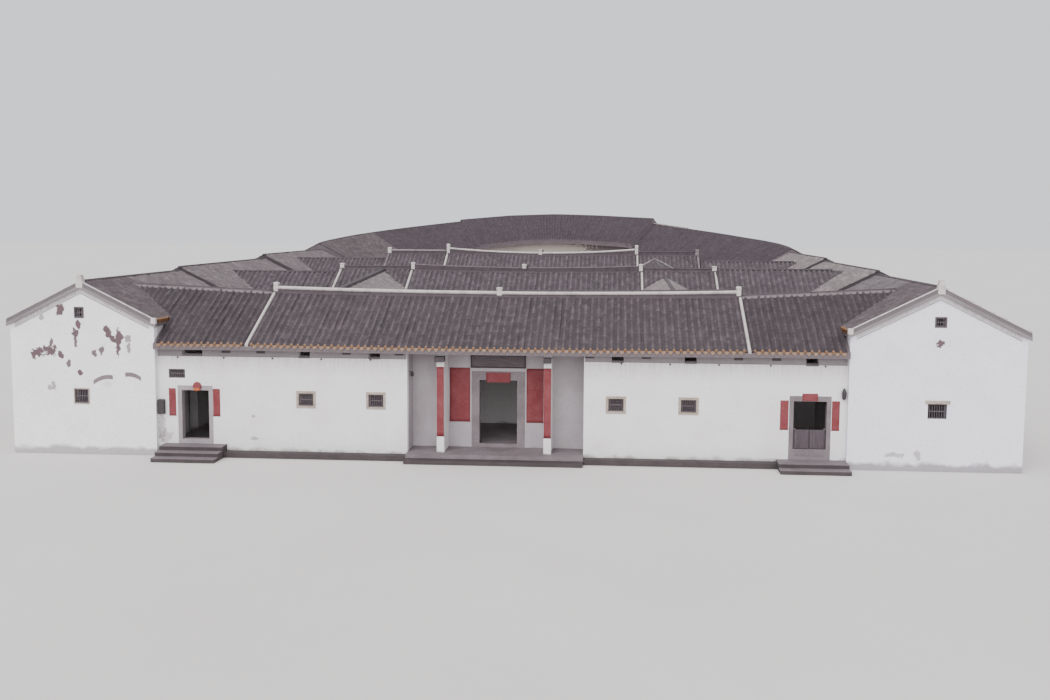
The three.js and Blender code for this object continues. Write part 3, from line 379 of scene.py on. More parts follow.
def fired_tiles(name, dark, mid, pale, lichen, crown_highlight, mottled):
    """Unglazed clay roof tiles: dull, each a little different, with soft light runs along the crowns of the
    covers, brightest at each tile's lower end, which are a painted highlight, and whitish lichen. UV is row
    number and metres down, and the relief is a saw-tooth of that distance, one tooth for each channel tile."""
    clay = Finish(name, 0.9, "clay_tile")
    rows = clay.add("ShaderNodeUVMap", uv_map="rows").outputs["UV"]
    row, down = clay.add("ShaderNodeSeparateXYZ", {"Vector": rows}).outputs[:2]
    from_crown = clay.maths("ABSOLUTE", clay.maths("SUBTRACT", clay.maths("FRACT", row), 0.5))
    edge = clay.maths("MULTIPLY_ADD", clay.patches(0.1, 0.3, 0.7, 5.0), -0.12, from_crown)
    crown = clay.ramp(edge, 0.3, -0.02)
    number, course = clay.maths("FLOOR", row), clay.maths("DIVIDE", down, TILE_LENGTH)
    cell = clay.add("ShaderNodeCombineXYZ", {"X": number, "Y": clay.maths("FLOOR", course)}).outputs["Vector"]
    chance = clay.add("ShaderNodeTexWhiteNoise", {"Vector": cell}, noise_dimensions="2D").outputs["Value"]
    speckle = clay.patches(0.07, 0.35, 0.7, 6.0)
    varied = clay.maths("MULTIPLY", chance, speckle)
    toned = clay.maths("MULTIPLY_ADD", clay.patches(1.8, 0.36, 0.7), 0.5, varied, clamp=True)
    run = clay.add("ShaderNodeCombineXYZ", {"X": number, "Y": down}).outputs["Vector"]
    # The painted highlight on the crowns: in long runs, brighter towards each tile's lower end.
    long_runs = clay.patches(1.0, 0.36, 0.66, stretch=(0.5, 0.8, 1), place=run)
    dusty = clay.maths("MULTIPLY_ADD", long_runs, 0.75, 0.25)
    lower_end = clay.maths("MULTIPLY_ADD", clay.maths("FRACT", course), 0.8, chance)
    worn = clay.maths("MULTIPLY", clay.maths("MULTIPLY", lower_end, dusty), crown)
    bright = clay.maths("MULTIPLY", worn, 2 * crown_highlight, clamp=True)
    colour = clay.mix(bright, clay.mix(toned, dark, mid), pale)
    colour = clay.tint(colour, clay.patches(0.28, 0.52, 0.7, 7.0, (1, 1.6, 1)), mottled, lichen)
    tooth = clay.maths("FRACT", clay.maths("DIVIDE", down, CHANNEL_LAP))
    return clay.done(colour, clay.maths("MULTIPLY_ADD", speckle, 0.8, tooth), 0.01)


def lime_mortar(name, white, dirt, share=0.8, slot="lime_plaster"):
    """Lime mortar of ridges and verges, from chalky white to grimy, with grey algae in ragged patches
    and runs. Bare render and plain clay parts are made the same way, in darker tones."""
    mortar = Finish(name, 0.9, slot)
    colour = mortar.tint(white, mortar.patches(0.35, 0.5, 0.72, 8.0), share, dirt)
    colour = mortar.tint(colour, mortar.patches(0.05, 0.6, 0.7), 0.4, "#6f6769")
    return mortar.done(colour, mortar.patches(0.08, 0.3, 0.7), 0.012)


def ochre_glaze():
    """Glazed clay eave ends: a glossy ochre glaze, pooled darker in places, with cream spots that are painted
    highlights.
    """
    glaze = Finish("ochre_glazed_clay", 0.28, "glazed_tile")
    colour = glaze.mix(glaze.patches(0.14, 0.35, 0.7), "#744b20", "#583814")
    # Cream spots: painted highlights on the glaze.
    colour = glaze.mix(glaze.patches(0.06, 0.66, 0.72), colour, "#9c885f")
    glaze.shader.inputs["Coat Weight"].default_value = 0.4
    glaze.shader.inputs["Coat Roughness"].default_value = 0.15
    return glaze.done(colour, glaze.patches(0.05, 0.3, 0.7), 0.004)


def granite(name, pale, dark, dirt, fleck="#a69d9e"):
    """Dressed granite: grey with dark and light grains of a few millimetres, drawn at 25 mm so that
    they show, and a pick-dressed, slightly uneven face with dirt in the hollows."""
    stone = Finish(name, 0.8, "granite")
    colour = stone.mix(stone.patches(0.025, 0.45, 0.6), pale, dark)
    colour = stone.mix(stone.patches(0.02, 0.62, 0.66), colour, fleck)
    colour = stone.tint(colour, stone.patches(0.6, 0.4, 0.8), 0.6, dirt)
    return stone.done(colour, stone.patches(0.06, 0.3, 0.7, 6.0), 0.006)


def old_timber(name, dark, pale, along=2):
    """Old softwood boards and beams: grain drawn out along the piece, greyed and dry."""
    wood = Finish(name, 0.78, "dark_timber")
    grain = wood.patches(0.03, 0.35, 0.7, 6.0, [18 if axis == along else 1 for axis in range(3)])
    colour = wood.tint(wood.mix(grain, dark, pale), wood.patches(0.4, 0.5, 0.8), 0.5, pale)
    return wood.done(colour, grain, 0.004)


def red_paper(name, red, pale):
    """Red paper strips pasted on with starch: matt, sun-faded in patches, cockled."""
    paper = Finish(name, 0.7, "red_paper")
    colour = paper.mix(paper.patches(0.5, 0.35, 0.75), red, pale)
    colour = paper.tint(colour, paper.patches(0.05, 0.6, 0.68), 0.35, "#9d6160")
    return paper.done(colour, paper.patches(0.12, 0.3, 0.7), 0.004)


def fired_brick():
    """Pale fired brick with lime joints: courses 60 mm high."""
    brick = Finish("fired_brick", 0.85, "clay_brick")
    fill = {"Vector": brick.place, "Rotation": (np.pi / 2, 0, 0)}
    laid = brick.add("ShaderNodeTexBrick", {
        "Vector": brick.add("ShaderNodeMapping", fill).outputs["Vector"], "Color1": "#aa9e8f",
        "Color2": "#978279", "Mortar": "#b9b0a2", "Scale": 1.0, "Mortar Size": 0.006,
        "Brick Width": 0.24, "Row Height": 0.06})
    colour = brick.tint(laid.outputs["Color"], brick.patches(0.2, 0.4, 0.8), 0.4, "#7e6f6c")
    return brick.done(colour, laid.outputs["Fac"], -0.004)


def sooty_iron():
    """Old enamelled iron: nearly black, a little chalky, with brown rust freckles."""
    iron = Finish("sooty_enamelled_iron", 0.55, "dark_timber")
    rust = iron.patches(0.05, 0.6, 0.7)
    return iron.done(iron.mix(rust, "#2b2629", "#443330"), rust, 0.002)


# Where plaster has come off or is stained, and where shade is painted on the horseshoe's inner wall: x, z,
# half width, half height and strength.
WEST_GABLE_PEELS = (
    (-16.9, 5.28, 0.1, 0.24, 1.0), (-17.06, 4.94, 0.17, 0.19, 1.0), (-17.05, 4.61, 0.08, 0.2, 0.95),
    (-17.67, 5.88, 0.16, 0.24, 1.0), (-18.43, 5.56, 0.09, 0.14, 0.65), (-18.13, 4.25, 0.3, 0.23, 1.0),
    (-18.57, 4.16, 0.19, 0.2, 1.0), (-18.05, 4.58, 0.08, 0.19, 0.95), (-18.79, 4.08, 0.15, 0.2, 1.0),
    (-17.66, 4.06, 0.11, 0.14, 1.0), (-17.35, 3.73, 0.09, 0.15, 0.95), (-16.88, 3.33, 0.11, 0.12, 1.0),
    (-16.27, 4.12, 0.1, 0.14, 0.95), (-15.96, 4.29, 0.11, 0.19, 0.95), (-15.73, 5.09, 0.14, 0.14, 1.0),
    (-15.64, 4.9, 0.14, 0.18, 1.0), (-15.48, 4.72, 0.13, 0.15, 1.0), (-15.24, 4.82, 0.19, 0.29, 1.0),
    (-15.28, 4.31, 0.1, 0.28, 1.0), (-14.86, 4.77, 0.13, 0.2, 0.75), (-14.83, 4.37, 0.09, 0.25, 0.75),
    (-18.02, 2.81, 0.09, 0.15, 0.65), (-18.18, 2.73, 0.12, 0.1, 0.65), (-15.76, 2.87, 0.27, 0.12, 0.2),
)
# The last patch is a small hole, painted as a dark patch: painted shade.
EAST_GABLE_PEELS = ((15.6, 0.62, 0.4, 0.1, 0.5), (16.5, 0.6, 0.14, 0.18, 0.5), (17.18, 5.0, 0.15, 0.15, 1.0))
FACADE_STAINS = ((-13.64, 1.15, 0.17, 0.62, 0.5), (-13.5, 0.72, 0.3, 0.26, 0.45),
                 (-9.84, 1.64, 0.11, 0.06, 0.6), (-9.78, 0.72, 0.15, 0.08, 0.6))
# A darker patch east of the middle of the horseshoe's inner wall: painted shade.
RING_PAINTED_SHADE = ((5.0, 6.9, 3.0, 3.5, 0.85),)

FACADE = lime_plaster("limewashed_plaster_facade", "#e2dfe0", "#dad5d4", eave=4.4, peels_and_shade=FACADE_STAINS,
                      bare_and_shade="#756a6e")
WEST_GABLE = lime_plaster("limewashed_plaster_west_gable", "#ecebee", "#e5e3e6", peels_and_shade=WEST_GABLE_PEELS)
EAST_GABLE = lime_plaster("limewashed_plaster_east_gable", "#e6e4ee", "#e0dde7", peels_and_shade=EAST_GABLE_PEELS,
                          damp="#746b70")
PLAIN = lime_plaster("limewashed_plaster", "#d6d1d1", "#d3cecf", eave=5.2)
# The horseshoe's inner wall: a dimmer limewash, with its patch of painted shade.
DIM_PLASTER = lime_plaster("limewashed_plaster_dim", "#aca39c", "#a19892", "#8d8480", peels_and_shade=RING_PAINTED_SHADE,
                    bare_and_shade="#5b5154")
SHADED = lime_plaster("limewashed_plaster_shaded", "#a8a0a4", "#999094", "#857c80", eave=4.2)
# A darker grey, painted shade: the frieze under the front eave and the gables' mouldings under their verges.
FRIEZE = lime_plaster("limewashed_frieze_painted_shade", "#7f777a", "#736c6f", "#665e61")
# Tiles: name, dark, middle and pale tone, lichen, and the shares of painted highlight along the crowns and of
# lichen.
# The side rows' inner slopes, the galleries' light slopes and the horseshoe's west end are painted paler than
# the slopes facing the front, as a sheen; the galleries' shaded slopes are painted darker, as shade.
TILE_LOOKS = {
    "dark": ("grey_clay_tiles", "#372f33", "#443a3f", "#5d5257", "#71676b", 0.42, 0.2),
    "wing": ("grey_clay_tiles_sooted", "#32292e", "#3e3539", "#544a4e", "#655b60", 0.42, 0.2),
    "hall": ("grey_clay_tiles_weathered", "#3c3438", "#4b4146", "#665c61", "#7b7176", 0.42, 0.25),
    "row_1": ("brown_grey_clay_tiles", "#4a4044", "#5a5054", "#675d60", "#7c7275", 0.25, 0.35),
    "row_2": ("grey_clay_tiles_dusty", "#5d5356", "#71676a", "#7d7376", "#938989", 0.15, 0.5),
    "row_east": ("grey_clay_tiles_speckled", "#5a5055", "#6e656a", "#7c7277", "#90868a", 0.2, 0.4),
    "row_east_pale": ("grey_clay_tiles_painted_sheen_east_row", "#665c5b", "#80767a", "#8f8584", "#a79d9a", 0.2, 0.6),
    "gallery": ("grey_clay_tiles_painted_sheen_galleries", "#6b6163", "#817778", "#8e8484", "#a39998", 0.25, 0.4),
    "gallery_dark": ("grey_clay_tiles_painted_shade_galleries", "#3b3237", "#483e43", "#5f5459", "#6f656a", 0.3, 0.2),
    "ring": ("grey_clay_tiles_plain", "#382f34", "#443a40", "#4e444a", "#62585d", 0.25, 0.2),
    "ring_west": ("grey_clay_tiles_lichened", "#463c40", "#584e51", "#645a5d", "#786e71", 0.25, 0.35),
}
TILES = {key: fired_tiles(*look) for key, look in TILE_LOOKS.items()}
RIDGE_WHITE = lime_mortar("lime_mortar_white", "#c6bebb", "#8c8384", 0.55)
RIDGE_GREY = lime_mortar("lime_mortar_weathered", "#938a8b", "#655c5e")
RIDGE_DULL = lime_mortar("lime_mortar_grimy", "#786f71", "#574d50")
RIDGE_MID = lime_mortar("clay_ridge_tiles_limed", "#645a5e", "#4b4146")
RIDGE_DARK = lime_mortar("clay_ridge_tiles_mortared", "#4a4045", "#3a3135", slot="clay_tile")
RING_EDGE = lime_mortar("clay_tile_edges", "#5f555a", "#4e444a")
BARE_RENDER = lime_mortar("earth_render_where_plaster_fell", "#786b6f", "#5d5055", 0.7)
GREY_END = lime_mortar("grey_clay_eave_ends", "#5d5357", "#443b3f", 0.9, "clay_tile")
GLAZE = ochre_glaze()
GRANITE = granite("dressed_granite", "#81777b", "#61575b", "#52484a")
PALE_GRANITE = granite("pale_dressed_granite", "#a0969a", "#857b7f", "#72686b")
# Dark granite for the steps: the dark is painted shade on their risers, under the paler treads.
STEP = granite("step_granite_painted_shade", "#453c3d", "#362e30", "#2b2426", "#5c5354")
TREAD = granite("foot_worn_granite", "#756b6f", "#655b5f", "#574d51", "#91888a")
TIMBER = old_timber("old_painted_timber", "#2c2629", "#3e3639")
TIMBER_X = old_timber("old_timber_beams", "#352e31", "#473e42", along=0)
NAME_BOARD = old_timber("weathered_name_board", "#494144", "#5e5357", along=0)
BARS = old_timber("greyed_window_timber", "#4d4448", "#5c5357")
VERGE_BOARDS = old_timber("limed_verge_boards", "#5a5156", "#6c6368", along=1)
# Dark as painted shade: the roof slabs' faces under the eaves and at the steps between the side rows'
# sections.
EAVES = old_timber("rafters_and_battens_painted_shade", "#332c2f", "#463d41", along=1)
# Limewashed, but painted darker: the shade under the front eave's ochre ends.
LIMED_EAVES = old_timber("limewashed_eave_slab_painted_shade", "#5a5054", "#6e6468", along=1)
GATE = old_timber("weathered_gate_boards", "#40373c", "#554b51")
PAPER = red_paper("faded_red_paper", "#6e2228", "#7a383d")
ORANGE_PAPER = red_paper("faded_orange_paper", "#a8481c", "#b36838")
BRICK = fired_brick()
IRON = sooty_iron()

# The finish of each node of the part: the first one here that its name starts with.
NODE_FINISHES = {
    "front_wall_": FACADE, "entrance_pier": FACADE, "entrance_recess": SHADED, "horseshoe_inner_wall": DIM_PLASTER,
    "west_row_gable": WEST_GABLE, "east_row_gable": EAST_GABLE, "name_board": NAME_BOARD,
    "main_door_frame": GRANITE, "east_door_frame": GRANITE, "entrance_floor": GRANITE,
    "west_door_frame": PALE_GRANITE, "front_range_floor": PALE_GRANITE, "gate_leaf": GATE,
    "west_landing": STEP, "west_step": STEP, "west_lower_step": STEP, "east_landing": STEP,
    "east_step": STEP, "front_apron": STEP, "entrance_step": STEP,
    "west_row_roof_front": VERGE_BOARDS, "east_row_roof_front": VERGE_BOARDS,
    "west_row_roof": EAVES, "east_row_roof": EAVES, "middle_roof": EAVES, "rear_roof": EAVES,
    "front_roof": LIMED_EAVES, "horseshoe_roof": RING_EDGE, "": PLAIN,
}
for name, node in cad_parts.items():
    finish = next(finish for start, finish in NODE_FINISHES.items() if name.startswith(start))
    node.data.materials.clear()
    node.data.materials.append(finish.material)


# Tiled slopes

def tile_rows(name, plan, ends, run, height, finish, rivals=(), from_ridge=0.1):
    """Tiles on one slope, as rows of half-round covers with flat channels between them.

    plan(s, d) gives x, y at s along the ridge and d out from it. Each point is the roof's height
    there, plus the round profile across the row, plus a lip that grows along each tile. A row stops
    at the eave, or just past where a rival roof stands higher, and drops to the roof at the eave.
    Gives back each row's and channel's place at the eave, with the way out and the slope there, and
    which of them are covers.
    """
    rows = max(1, round((ends[1] - ends[0]) / ROW_PITCH))
    pitch = (ends[1] - ends[0]) / rows
    turns = (np.arange(rows)[:, None] + 0.5 + PROFILE_AT).ravel()
    turns = np.concatenate([[0.0], turns, [rows]])
    rise = np.concatenate([[0.0], np.tile(PROFILE_RISE, rows), [0.0]])
    row_of = np.clip(turns.astype(int), 0, rows - 1)
    s = ends[0] + pitch * turns

    tiles = int(np.ceil((run - from_ridge) / TILE_LENGTH))
    starts = from_ridge + TILE_LENGTH * np.arange(tiles)
    stops = np.minimum(starts + TILE_LENGTH - TILE_GAP, run)
    stations = np.stack([starts, stops], axis=1).ravel()
    lip = np.tile([0.0, 1.0], tiles)

    probe = np.linspace(from_ridge, run, 200)
    x, y = plan(s[:, None], probe[None])
    own = height(x, y)
    hidden = np.zeros(own.shape, bool)
    for rival in rivals:
        hidden |= rival(x, y) > own
    first = hidden.argmax(1)
    valley = np.where(first == 0, from_ridge, probe[first] + VALLEY_SINK)
    limit = np.where(hidden.any(1), valley, run)

    d = np.minimum(stations[None], limit[:, None])
    phase = CHANCE.uniform(0, PHASES, rows)[row_of, None]
    shift = CHANCE.normal(0, SHIFT_SPREAD, rows)[row_of, None]
    loose = CHANCE.normal(0, LOOSE_SPREAD, (rows, tiles)).repeat(2, axis=1)[row_of]
    wave = LONG_WAVE * np.sin(LONG_TURNS * d + phase) + SHORT_WAVE * np.sin(SHORT_TURNS * d - 2 * phase)
    x, y = plan(s[:, None] + (shift + wave) * (rise[:, None] > 0), d)
    z = height(x, y) + TILE_BED + (COVER_RISE + loose) * rise[:, None]
    z += TILE_LIP * lip[None] * (0.4 + 0.6 * rise[:, None])
    grid = np.stack([x, y, z], axis=-1)
    closing = grid[:, -1:].copy()
    closing[..., 2] = height(closing[..., 0], closing[..., 1]) - EAVE_DROP
    grid = np.concatenate([grid, closing], axis=1)

    reach = np.maximum(limit[:-1], limit[1:])
    keep = stations[None, :-1] < reach[:, None] - 1e-6
    at_eave = np.minimum(limit[:-1], limit[1:]) > run - 1e-6
    keep = np.concatenate([keep, at_eave[:, None]], axis=1)
    used, quads = np.unique(grid_quads(*grid.shape[:2])[keep], return_inverse=True)
    quads = quads.reshape(-1, 4)
    places = grid.reshape(-1, 3)[used]
    depth = np.concatenate([d, d[:, -1:] + 0.05], axis=1)
    uv = np.stack([np.broadcast_to(turns[:, None], depth.shape), depth], axis=-1).reshape(-1, 2)[used]
    a, b, c = (places[quads[:, i]] for i in range(3))
    if np.cross(b - a, c - a)[:, 2].sum() < 0:
        quads = quads[:, ::-1]
    put_mesh(name, places, [quads], finish, smooth=True, uv=uv)

    at = ends[0] + pitch * np.concatenate([np.arange(rows) + 0.5, np.arange(1, rows)])
    covers = np.concatenate([np.ones(rows, bool), np.zeros(rows - 1, bool)])
    full = np.interp(at, s, limit) > run - 1e-3
    at, covers = at[full], covers[full]
    ex, ey = plan(at, np.full(len(at), run))
    bx, by = plan(at, np.full(len(at), run - 0.1))
    ez, bz = height(ex, ey), height(bx, by)
    return points(ex, ey, ez), np.stack([ex - bx, ey - by], axis=1) / 0.1, (bz - ez) / 0.1, covers


def cover_end(radius=0.06, sleeve=0.05, k=12):
    """A disc over the cover's mouth and a half-round sleeve behind it: circles of one radius, in out,
    across and up."""
    turn = np.linspace(0, 2 * np.pi, k, endpoint=False)
    across, up = np.cos(turn) * radius, np.sin(turn) * radius
    rings = [points(out, across * size, up * size)
             for out, size in ((0.052, 0.55), (0.04, 1.0), (0.012, 1.0), (-sleeve, 0.98))]
    return np.concatenate(rings), ring_quads(len(rings), k)[:, [0, 3, 2, 1]], np.arange(k)[None]


def drip_end(half=0.095, drop=0.13, thick=0.02):
    """A tongue that hangs from the channel's mouth: a flat outline that narrows to a point."""
    across, up = np.transpose([[-half, 0.02], [half, 0.02], [half, -0.02], [0.62 * half, -0.6 * drop],
                               [0, -drop], [-0.62 * half, -0.6 * drop], [-half, -0.02]])
    faces = np.concatenate([points(thick - 0.25 * up, across, up), points(-0.25 * up, across, up)])
    ring = np.arange(len(up))
    return faces, ring_quads(2, len(up)), np.array([ring[::-1], ring + len(up)])


def eave_ends(name, eave, finish, kept):
    """Copies the round end to each cover and the tongue to each channel that is kept, turned to face
    out."""
    if not kept.any():
        return
    spots, out, slope, covers = (part[kept] for part in eave)
    places, quads, plates, start = [], [], [], 0
    for chosen, (shape, sides, caps), up in ((covers, cover_end(), 0.03), (~covers, drip_end(), 0.0)):
        at, way, fall = spots[chosen], out[chosen], slope[chosen]
        across = np.stack([-way[:, 1], way[:, 0]], axis=1)
        level = at[:, None, :2] + way[:, None] * shape[None, :, :1] + across[:, None] * shape[None, :, 1:2]
        rise = at[:, None, 2] + up + shape[None, :, 2] - fall[:, None] * np.minimum(shape[None, :, 0], 0)
        places.append(np.concatenate([level, rise[..., None]], axis=-1).reshape(-1, 3))
        shift = start + len(shape) * np.arange(len(at))[:, None, None]
        quads.append((sides[None] + shift).reshape(-1, 4))
        plates.append((caps[None] + shift).reshape(-1, caps.shape[1]))
        start += len(shape) * len(at)
    put_mesh(name, np.concatenate(places), [*quads, *plates], finish)


def lay_slope(label, plan, ends, run, height, tiles, rivals=(), from_ridge=0.1, finish=GREY_END,
              widest=np.inf):
    """A slope's tiles, and their ends along its eave out to the widest x."""
    eave = tile_rows(label % "tiles", plan, ends, run, height, TILES[tiles], rivals, from_ridge)
    eave_ends(label % "eave_ends", eave, finish, np.abs(eave[0][:, 0]) < widest)


def along_x(y0, side):
    return lambda s, d: (s + 0 * d, y0 + side * d + 0 * s)


def along_y(x0, side):
    return lambda s, d: (x0 + side * d + 0 * s, s + 0 * d)


def on_ring(side):
    """s runs along the ridge's arc from the east end, and d out from it to either side."""
    def plan(s, d):
        angle, radius = s / RING_RADIUS, RING_RADIUS + side * d
        return RING_X + radius * np.cos(angle), RING_Y + radius * np.sin(angle)
    return plan


def dress_front_range():
    inner = CENTRE_HALF - SHORT_OF_VERGE
    for side, facing in FACINGS:
        rivals = [GALLERY_ROOFS["front_west"], GALLERY_ROOFS["front_east"]] if side > 0 else []
        lay = partial(lay_slope, plan=along_x(FRONT_Y, side), run=FRONT_REACH, height=front_height,
                      finish=GLAZE if side < 0 else GREY_END)
        lay(f"front_centre_%s_{facing}", ends=(-inner, inner), tiles="dark", rivals=rivals)
        for sign, end in ENDS:
            ends = sorted((sign * (CENTRE_HALF + PAST_VERGE), sign * (FACADE_HALF + UNDER_ROW)))
            lay(f"front_wing_%s_{end}_{facing}", ends=ends, tiles="wing", rivals=[ROW_ROOFS[end, 0], *rivals],
                from_ridge=0.06, widest=LAST_END)


def dress_halls():
    inner = HALL_HALF - SHORT_OF_VERGE
    parts = {"side": (HALL_HALF + PAST_VERGE, CENTRE_HALF - SHORT_OF_VERGE),
             "outer": (CENTRE_HALF + PAST_VERGE, FACADE_HALF + UNDER_ROW)}
    for name, hall in HALLS.items():
        section = 1 if name == "middle" else 2
        for side, facing in FACINGS:
            near = "front" if (name, facing) == ("middle", "front") else "rear"
            rivals = [GALLERY_ROOFS[f"{near}_{end}"] for _, end in ENDS]
            if (name, facing) == ("rear", "back"):
                rivals = []
            lay = partial(lay_slope, plan=along_x(hall["y"], side), run=hall["reach"],
                          height=partial(hall_height, hall), tiles="hall", widest=LAST_END)
            lay(f"{name}_centre_%s_{facing}", ends=(-inner, inner), rivals=rivals)
            for sign, end in ENDS:
                for part, (a, b) in parts.items():
                    lay(f"{name}_{part}_%s_{end}_{facing}", ends=sorted((sign * a, sign * b)),
                        rivals=[*rivals, ROW_ROOFS[end, section]])


def dress_side_rows():
    """The inner slopes are painted pale, as a sheen, but for a browner stretch at the front, whose first ends
    are glazed.
    """
    brown_to, glazed_to = 4.2, 1.25
    for name, row in ROWS.items():
        reach = row["half"] + SIDE_EAVE_REACH
        for section in range(3):
            first = SECTIONS_Y[section] + (0.13 if section == 0 else 0.02)
            last = SECTIONS_Y[section + 1] - 0.01
            dusty = "row_2" if name == "west" else "row_east_pale" if section else "row_east"
            stretches = [("inner", first, last, dusty), ("outer", first, last, "dark")]
            if section == 0:
                stretches = [("inner_front", first, brown_to, "row_1"),
                             ("inner", brown_to + 0.02, last, dusty), stretches[1]]
            for facing, low, high, tiles in stretches:
                side, rivals = -row["sign"], [FRONT_ROOF, *HALL_ROOFS.values()]
                if facing == "outer":
                    side, rivals = row["sign"], []
                label = f"{name}_row_%s_{section + 1}_{facing}"
                eave = tile_rows(label % "tiles", along_y(row["x"], side), (low, high), reach,
                                 partial(row_height, row, section), TILES[tiles], rivals, 0.08)
                glazed = (eave[0][:, 1] < glazed_to) & (facing == "inner_front")
                eave_ends(label % "glazed_ends", eave, GLAZE, glazed)
                eave_ends(label % "eave_ends", eave, GREY_END, ~glazed)


def dress_galleries():
    cross = {"front": FRONT_ROOF, **HALL_ROOFS}
    for name, gallery in GALLERIES.items():
        near, far = ("front", "middle") if name.startswith("front") else ("middle", "rear")
        for side, facing in ENDS:
            # Shaded slopes get the darker tiles: painted shade.
            shaded = name == "rear_east" or (name.endswith("west") and facing == "west")
            lay_slope(f"{name}_gallery_%s_{facing}", along_y(gallery[0], side), gallery[1:3], GALLERY_REACH,
                      partial(gallery_height, gallery), "gallery_dark" if shaded else "gallery",
                      [cross[near], cross[far]], 0.06)


def dress_horseshoe():
    """Dark tiles all round, and paler ones, a painted sheen, on the last thirty degrees of the west arm."""
    stretches = [("east", "east", 0, 63, "ring"), ("centre", "centre", 63, 120, "ring"),
                 ("west_near_centre", "west", 120, 150, "ring"), ("west", "west", 150, 180, "ring_west")]
    for label, part, *angles, tiles in stretches:
        first, last = (np.radians(angle) * RING_RADIUS for angle in angles)
        for side, run, facing in ((-1, RING_IN, "inner"), (1, RING_OUT, "outer")):
            lay_slope(f"horseshoe_%s_{label}_{facing}", on_ring(side), (first + 0.01, last - 0.01), run,
                      partial(ring_height, part), tiles, from_ridge=0.08)


# Ridges and verges

def rounded(width, low, high, shoulder=0.04, foot=0.0):
    """A cap's section: a sloping mortar foot, upright sides, and a top that rounds off over its
    shoulders."""
    half = width / 2
    right = [(half + foot, low), (half + foot, low + 0.5 * foot), (half, low + 1.5 * foot),
             (half, high - shoulder), (half - 0.6 * shoulder, high - 0.25 * shoulder)]
    return [(-a, b) for a, b in right] + [(0, high)] + right[::-1]


def flat(half, low, high):
    """A plain oblong section, from low to high."""
    return [(-half, low), (-half, high), (half, high), (half, low)]


# The mortar that beds a ridge on its tiles, wider than the cap.
FILLET = [(-0.2, -0.14), (-0.2, -0.005), (-0.12, 0.04), (0.12, 0.04), (0.2, -0.005), (0.2, -0.14)]


def ridge_block(name, place, top, finish, wide=0.12, foot=-0.1):
    """A block on a ridge: upright, drawn in at a neck, and swelling to a rounded crown."""
    levels = [(1.0, foot), (1.0, 0.5 * top), (0.94, 0.58 * top), (1.0, 0.68 * top), (1.12, 0.88 * top),
              (0.95, 0.98 * top), (0.15, top)]
    stacked(name, place, [(wide * size, 0.13 * size, z) for size, z in levels], finish, power=8.0)


WEB_INSET, WEB_LAP, WEB_FOOT = 0.008, 0.03, -0.1


def raised_cap(name, path, bow, cap, finish):
    """A cap carried above its ridge by a bow at each point, on a web of dark tiles that fills the
    space down to the roof: the web's top follows the cap and its foot follows the ridge. The cap is
    given as its width, its rise over the ridge and its thickness."""
    wide, rise, thick = cap
    bow = np.broadcast_to(np.asarray(bow, float), (len(path),))
    section = rounded(wide, rise - thick, rise, 0.03)
    carried(name, path + points(0, 0, bow), section, finish, slot="lime_plaster")
    web = [flat(wide / 2 - WEB_INSET, WEB_FOOT, top) for top in bow + rise - thick + WEB_LAP]
    carried(f"{name}_web", path, web, RIDGE_DARK, smooth=False)


def centre_ridge(name, y, half, ridge, finish, cap, bow, block, knob, coping=(), knob_foot=-0.1):
    """The cap follows the sagging ridge and bows up to its ends, with a block at each end, a knob
    near the middle and, over part of its length, a line of dark coping tiles."""
    xs = np.linspace(-half, half, 33)
    path = points(xs, y, ridge(xs))
    raised_cap(f"{name}_ridge_cap", path, bow * (xs / half) ** 2, cap, finish)
    carried(f"{name}_ridge_foot", path, FILLET, RIDGE_DARK)
    for sign, end in ENDS:
        x = sign * (half - 0.1)
        ridge_block(f"{name}_ridge_end_{end}", (x, y, float(ridge(x))), block, RIDGE_WHITE, 0.1)
    place = (knob, y, float(ridge(knob)))
    ridge_block(f"{name}_ridge_knob", place, cap[1] + 0.17, RIDGE_WHITE, 0.115, knob_foot)
    if coping:
        xs = np.linspace(*coping, 15)
        top = ridge(xs) + bow * (xs / half) ** 2 + cap[1] - 0.02
        carried(f"{name}_ridge_coping", points(xs, y, top), rounded(0.16, 0, 0.08, 0.05), RIDGE_DARK)


def verge(name, x, y, reach, ridge, eave, finish, low=-0.1):
    """A raised strip down both slopes, from eave to eave over the ridge."""
    away = np.linspace(-reach - 0.02, reach + 0.02, 25)
    path = points(x, y + away, slope_height(np.abs(away), reach, ridge, eave))
    carried(name, path, rounded(0.115, low, 0.085, 0.03), finish)


def dress_front_ridge():
    coping = (0.3, CENTRE_HALF - 0.3)
    centre_ridge("front", FRONT_Y, CENTRE_HALF, front_ridge, RIDGE_WHITE, (0.25, 0.21, 0.13), 0.06, 0.43,
                 -0.2, coping)
    for sign, end in ENDS:
        verge(f"front_verge_{end}", sign * (CENTRE_HALF - 0.05), FRONT_Y, FRONT_REACH,
              FRONT_EAVE + CENTRE_RISE, FRONT_EAVE, RIDGE_WHITE, -0.06)
        wing = sign * np.linspace(CENTRE_HALF + 0.02, FACADE_HALF + 2.6, 12)
        path = points(wing, FRONT_Y, front_ridge(wing))
        carried(f"front_wing_ridge_{end}", path, rounded(0.17, -0.05, 0.075, foot=0.03), RIDGE_MID)
        carried(f"front_wing_foot_{end}", path, FILLET, RIDGE_DULL, sizes=np.full(len(path), 0.8))
        carried(f"front_wing_coping_{end}", path + (0, 0.03, 0.06), rounded(0.13, 0, 0.06), RIDGE_DARK)


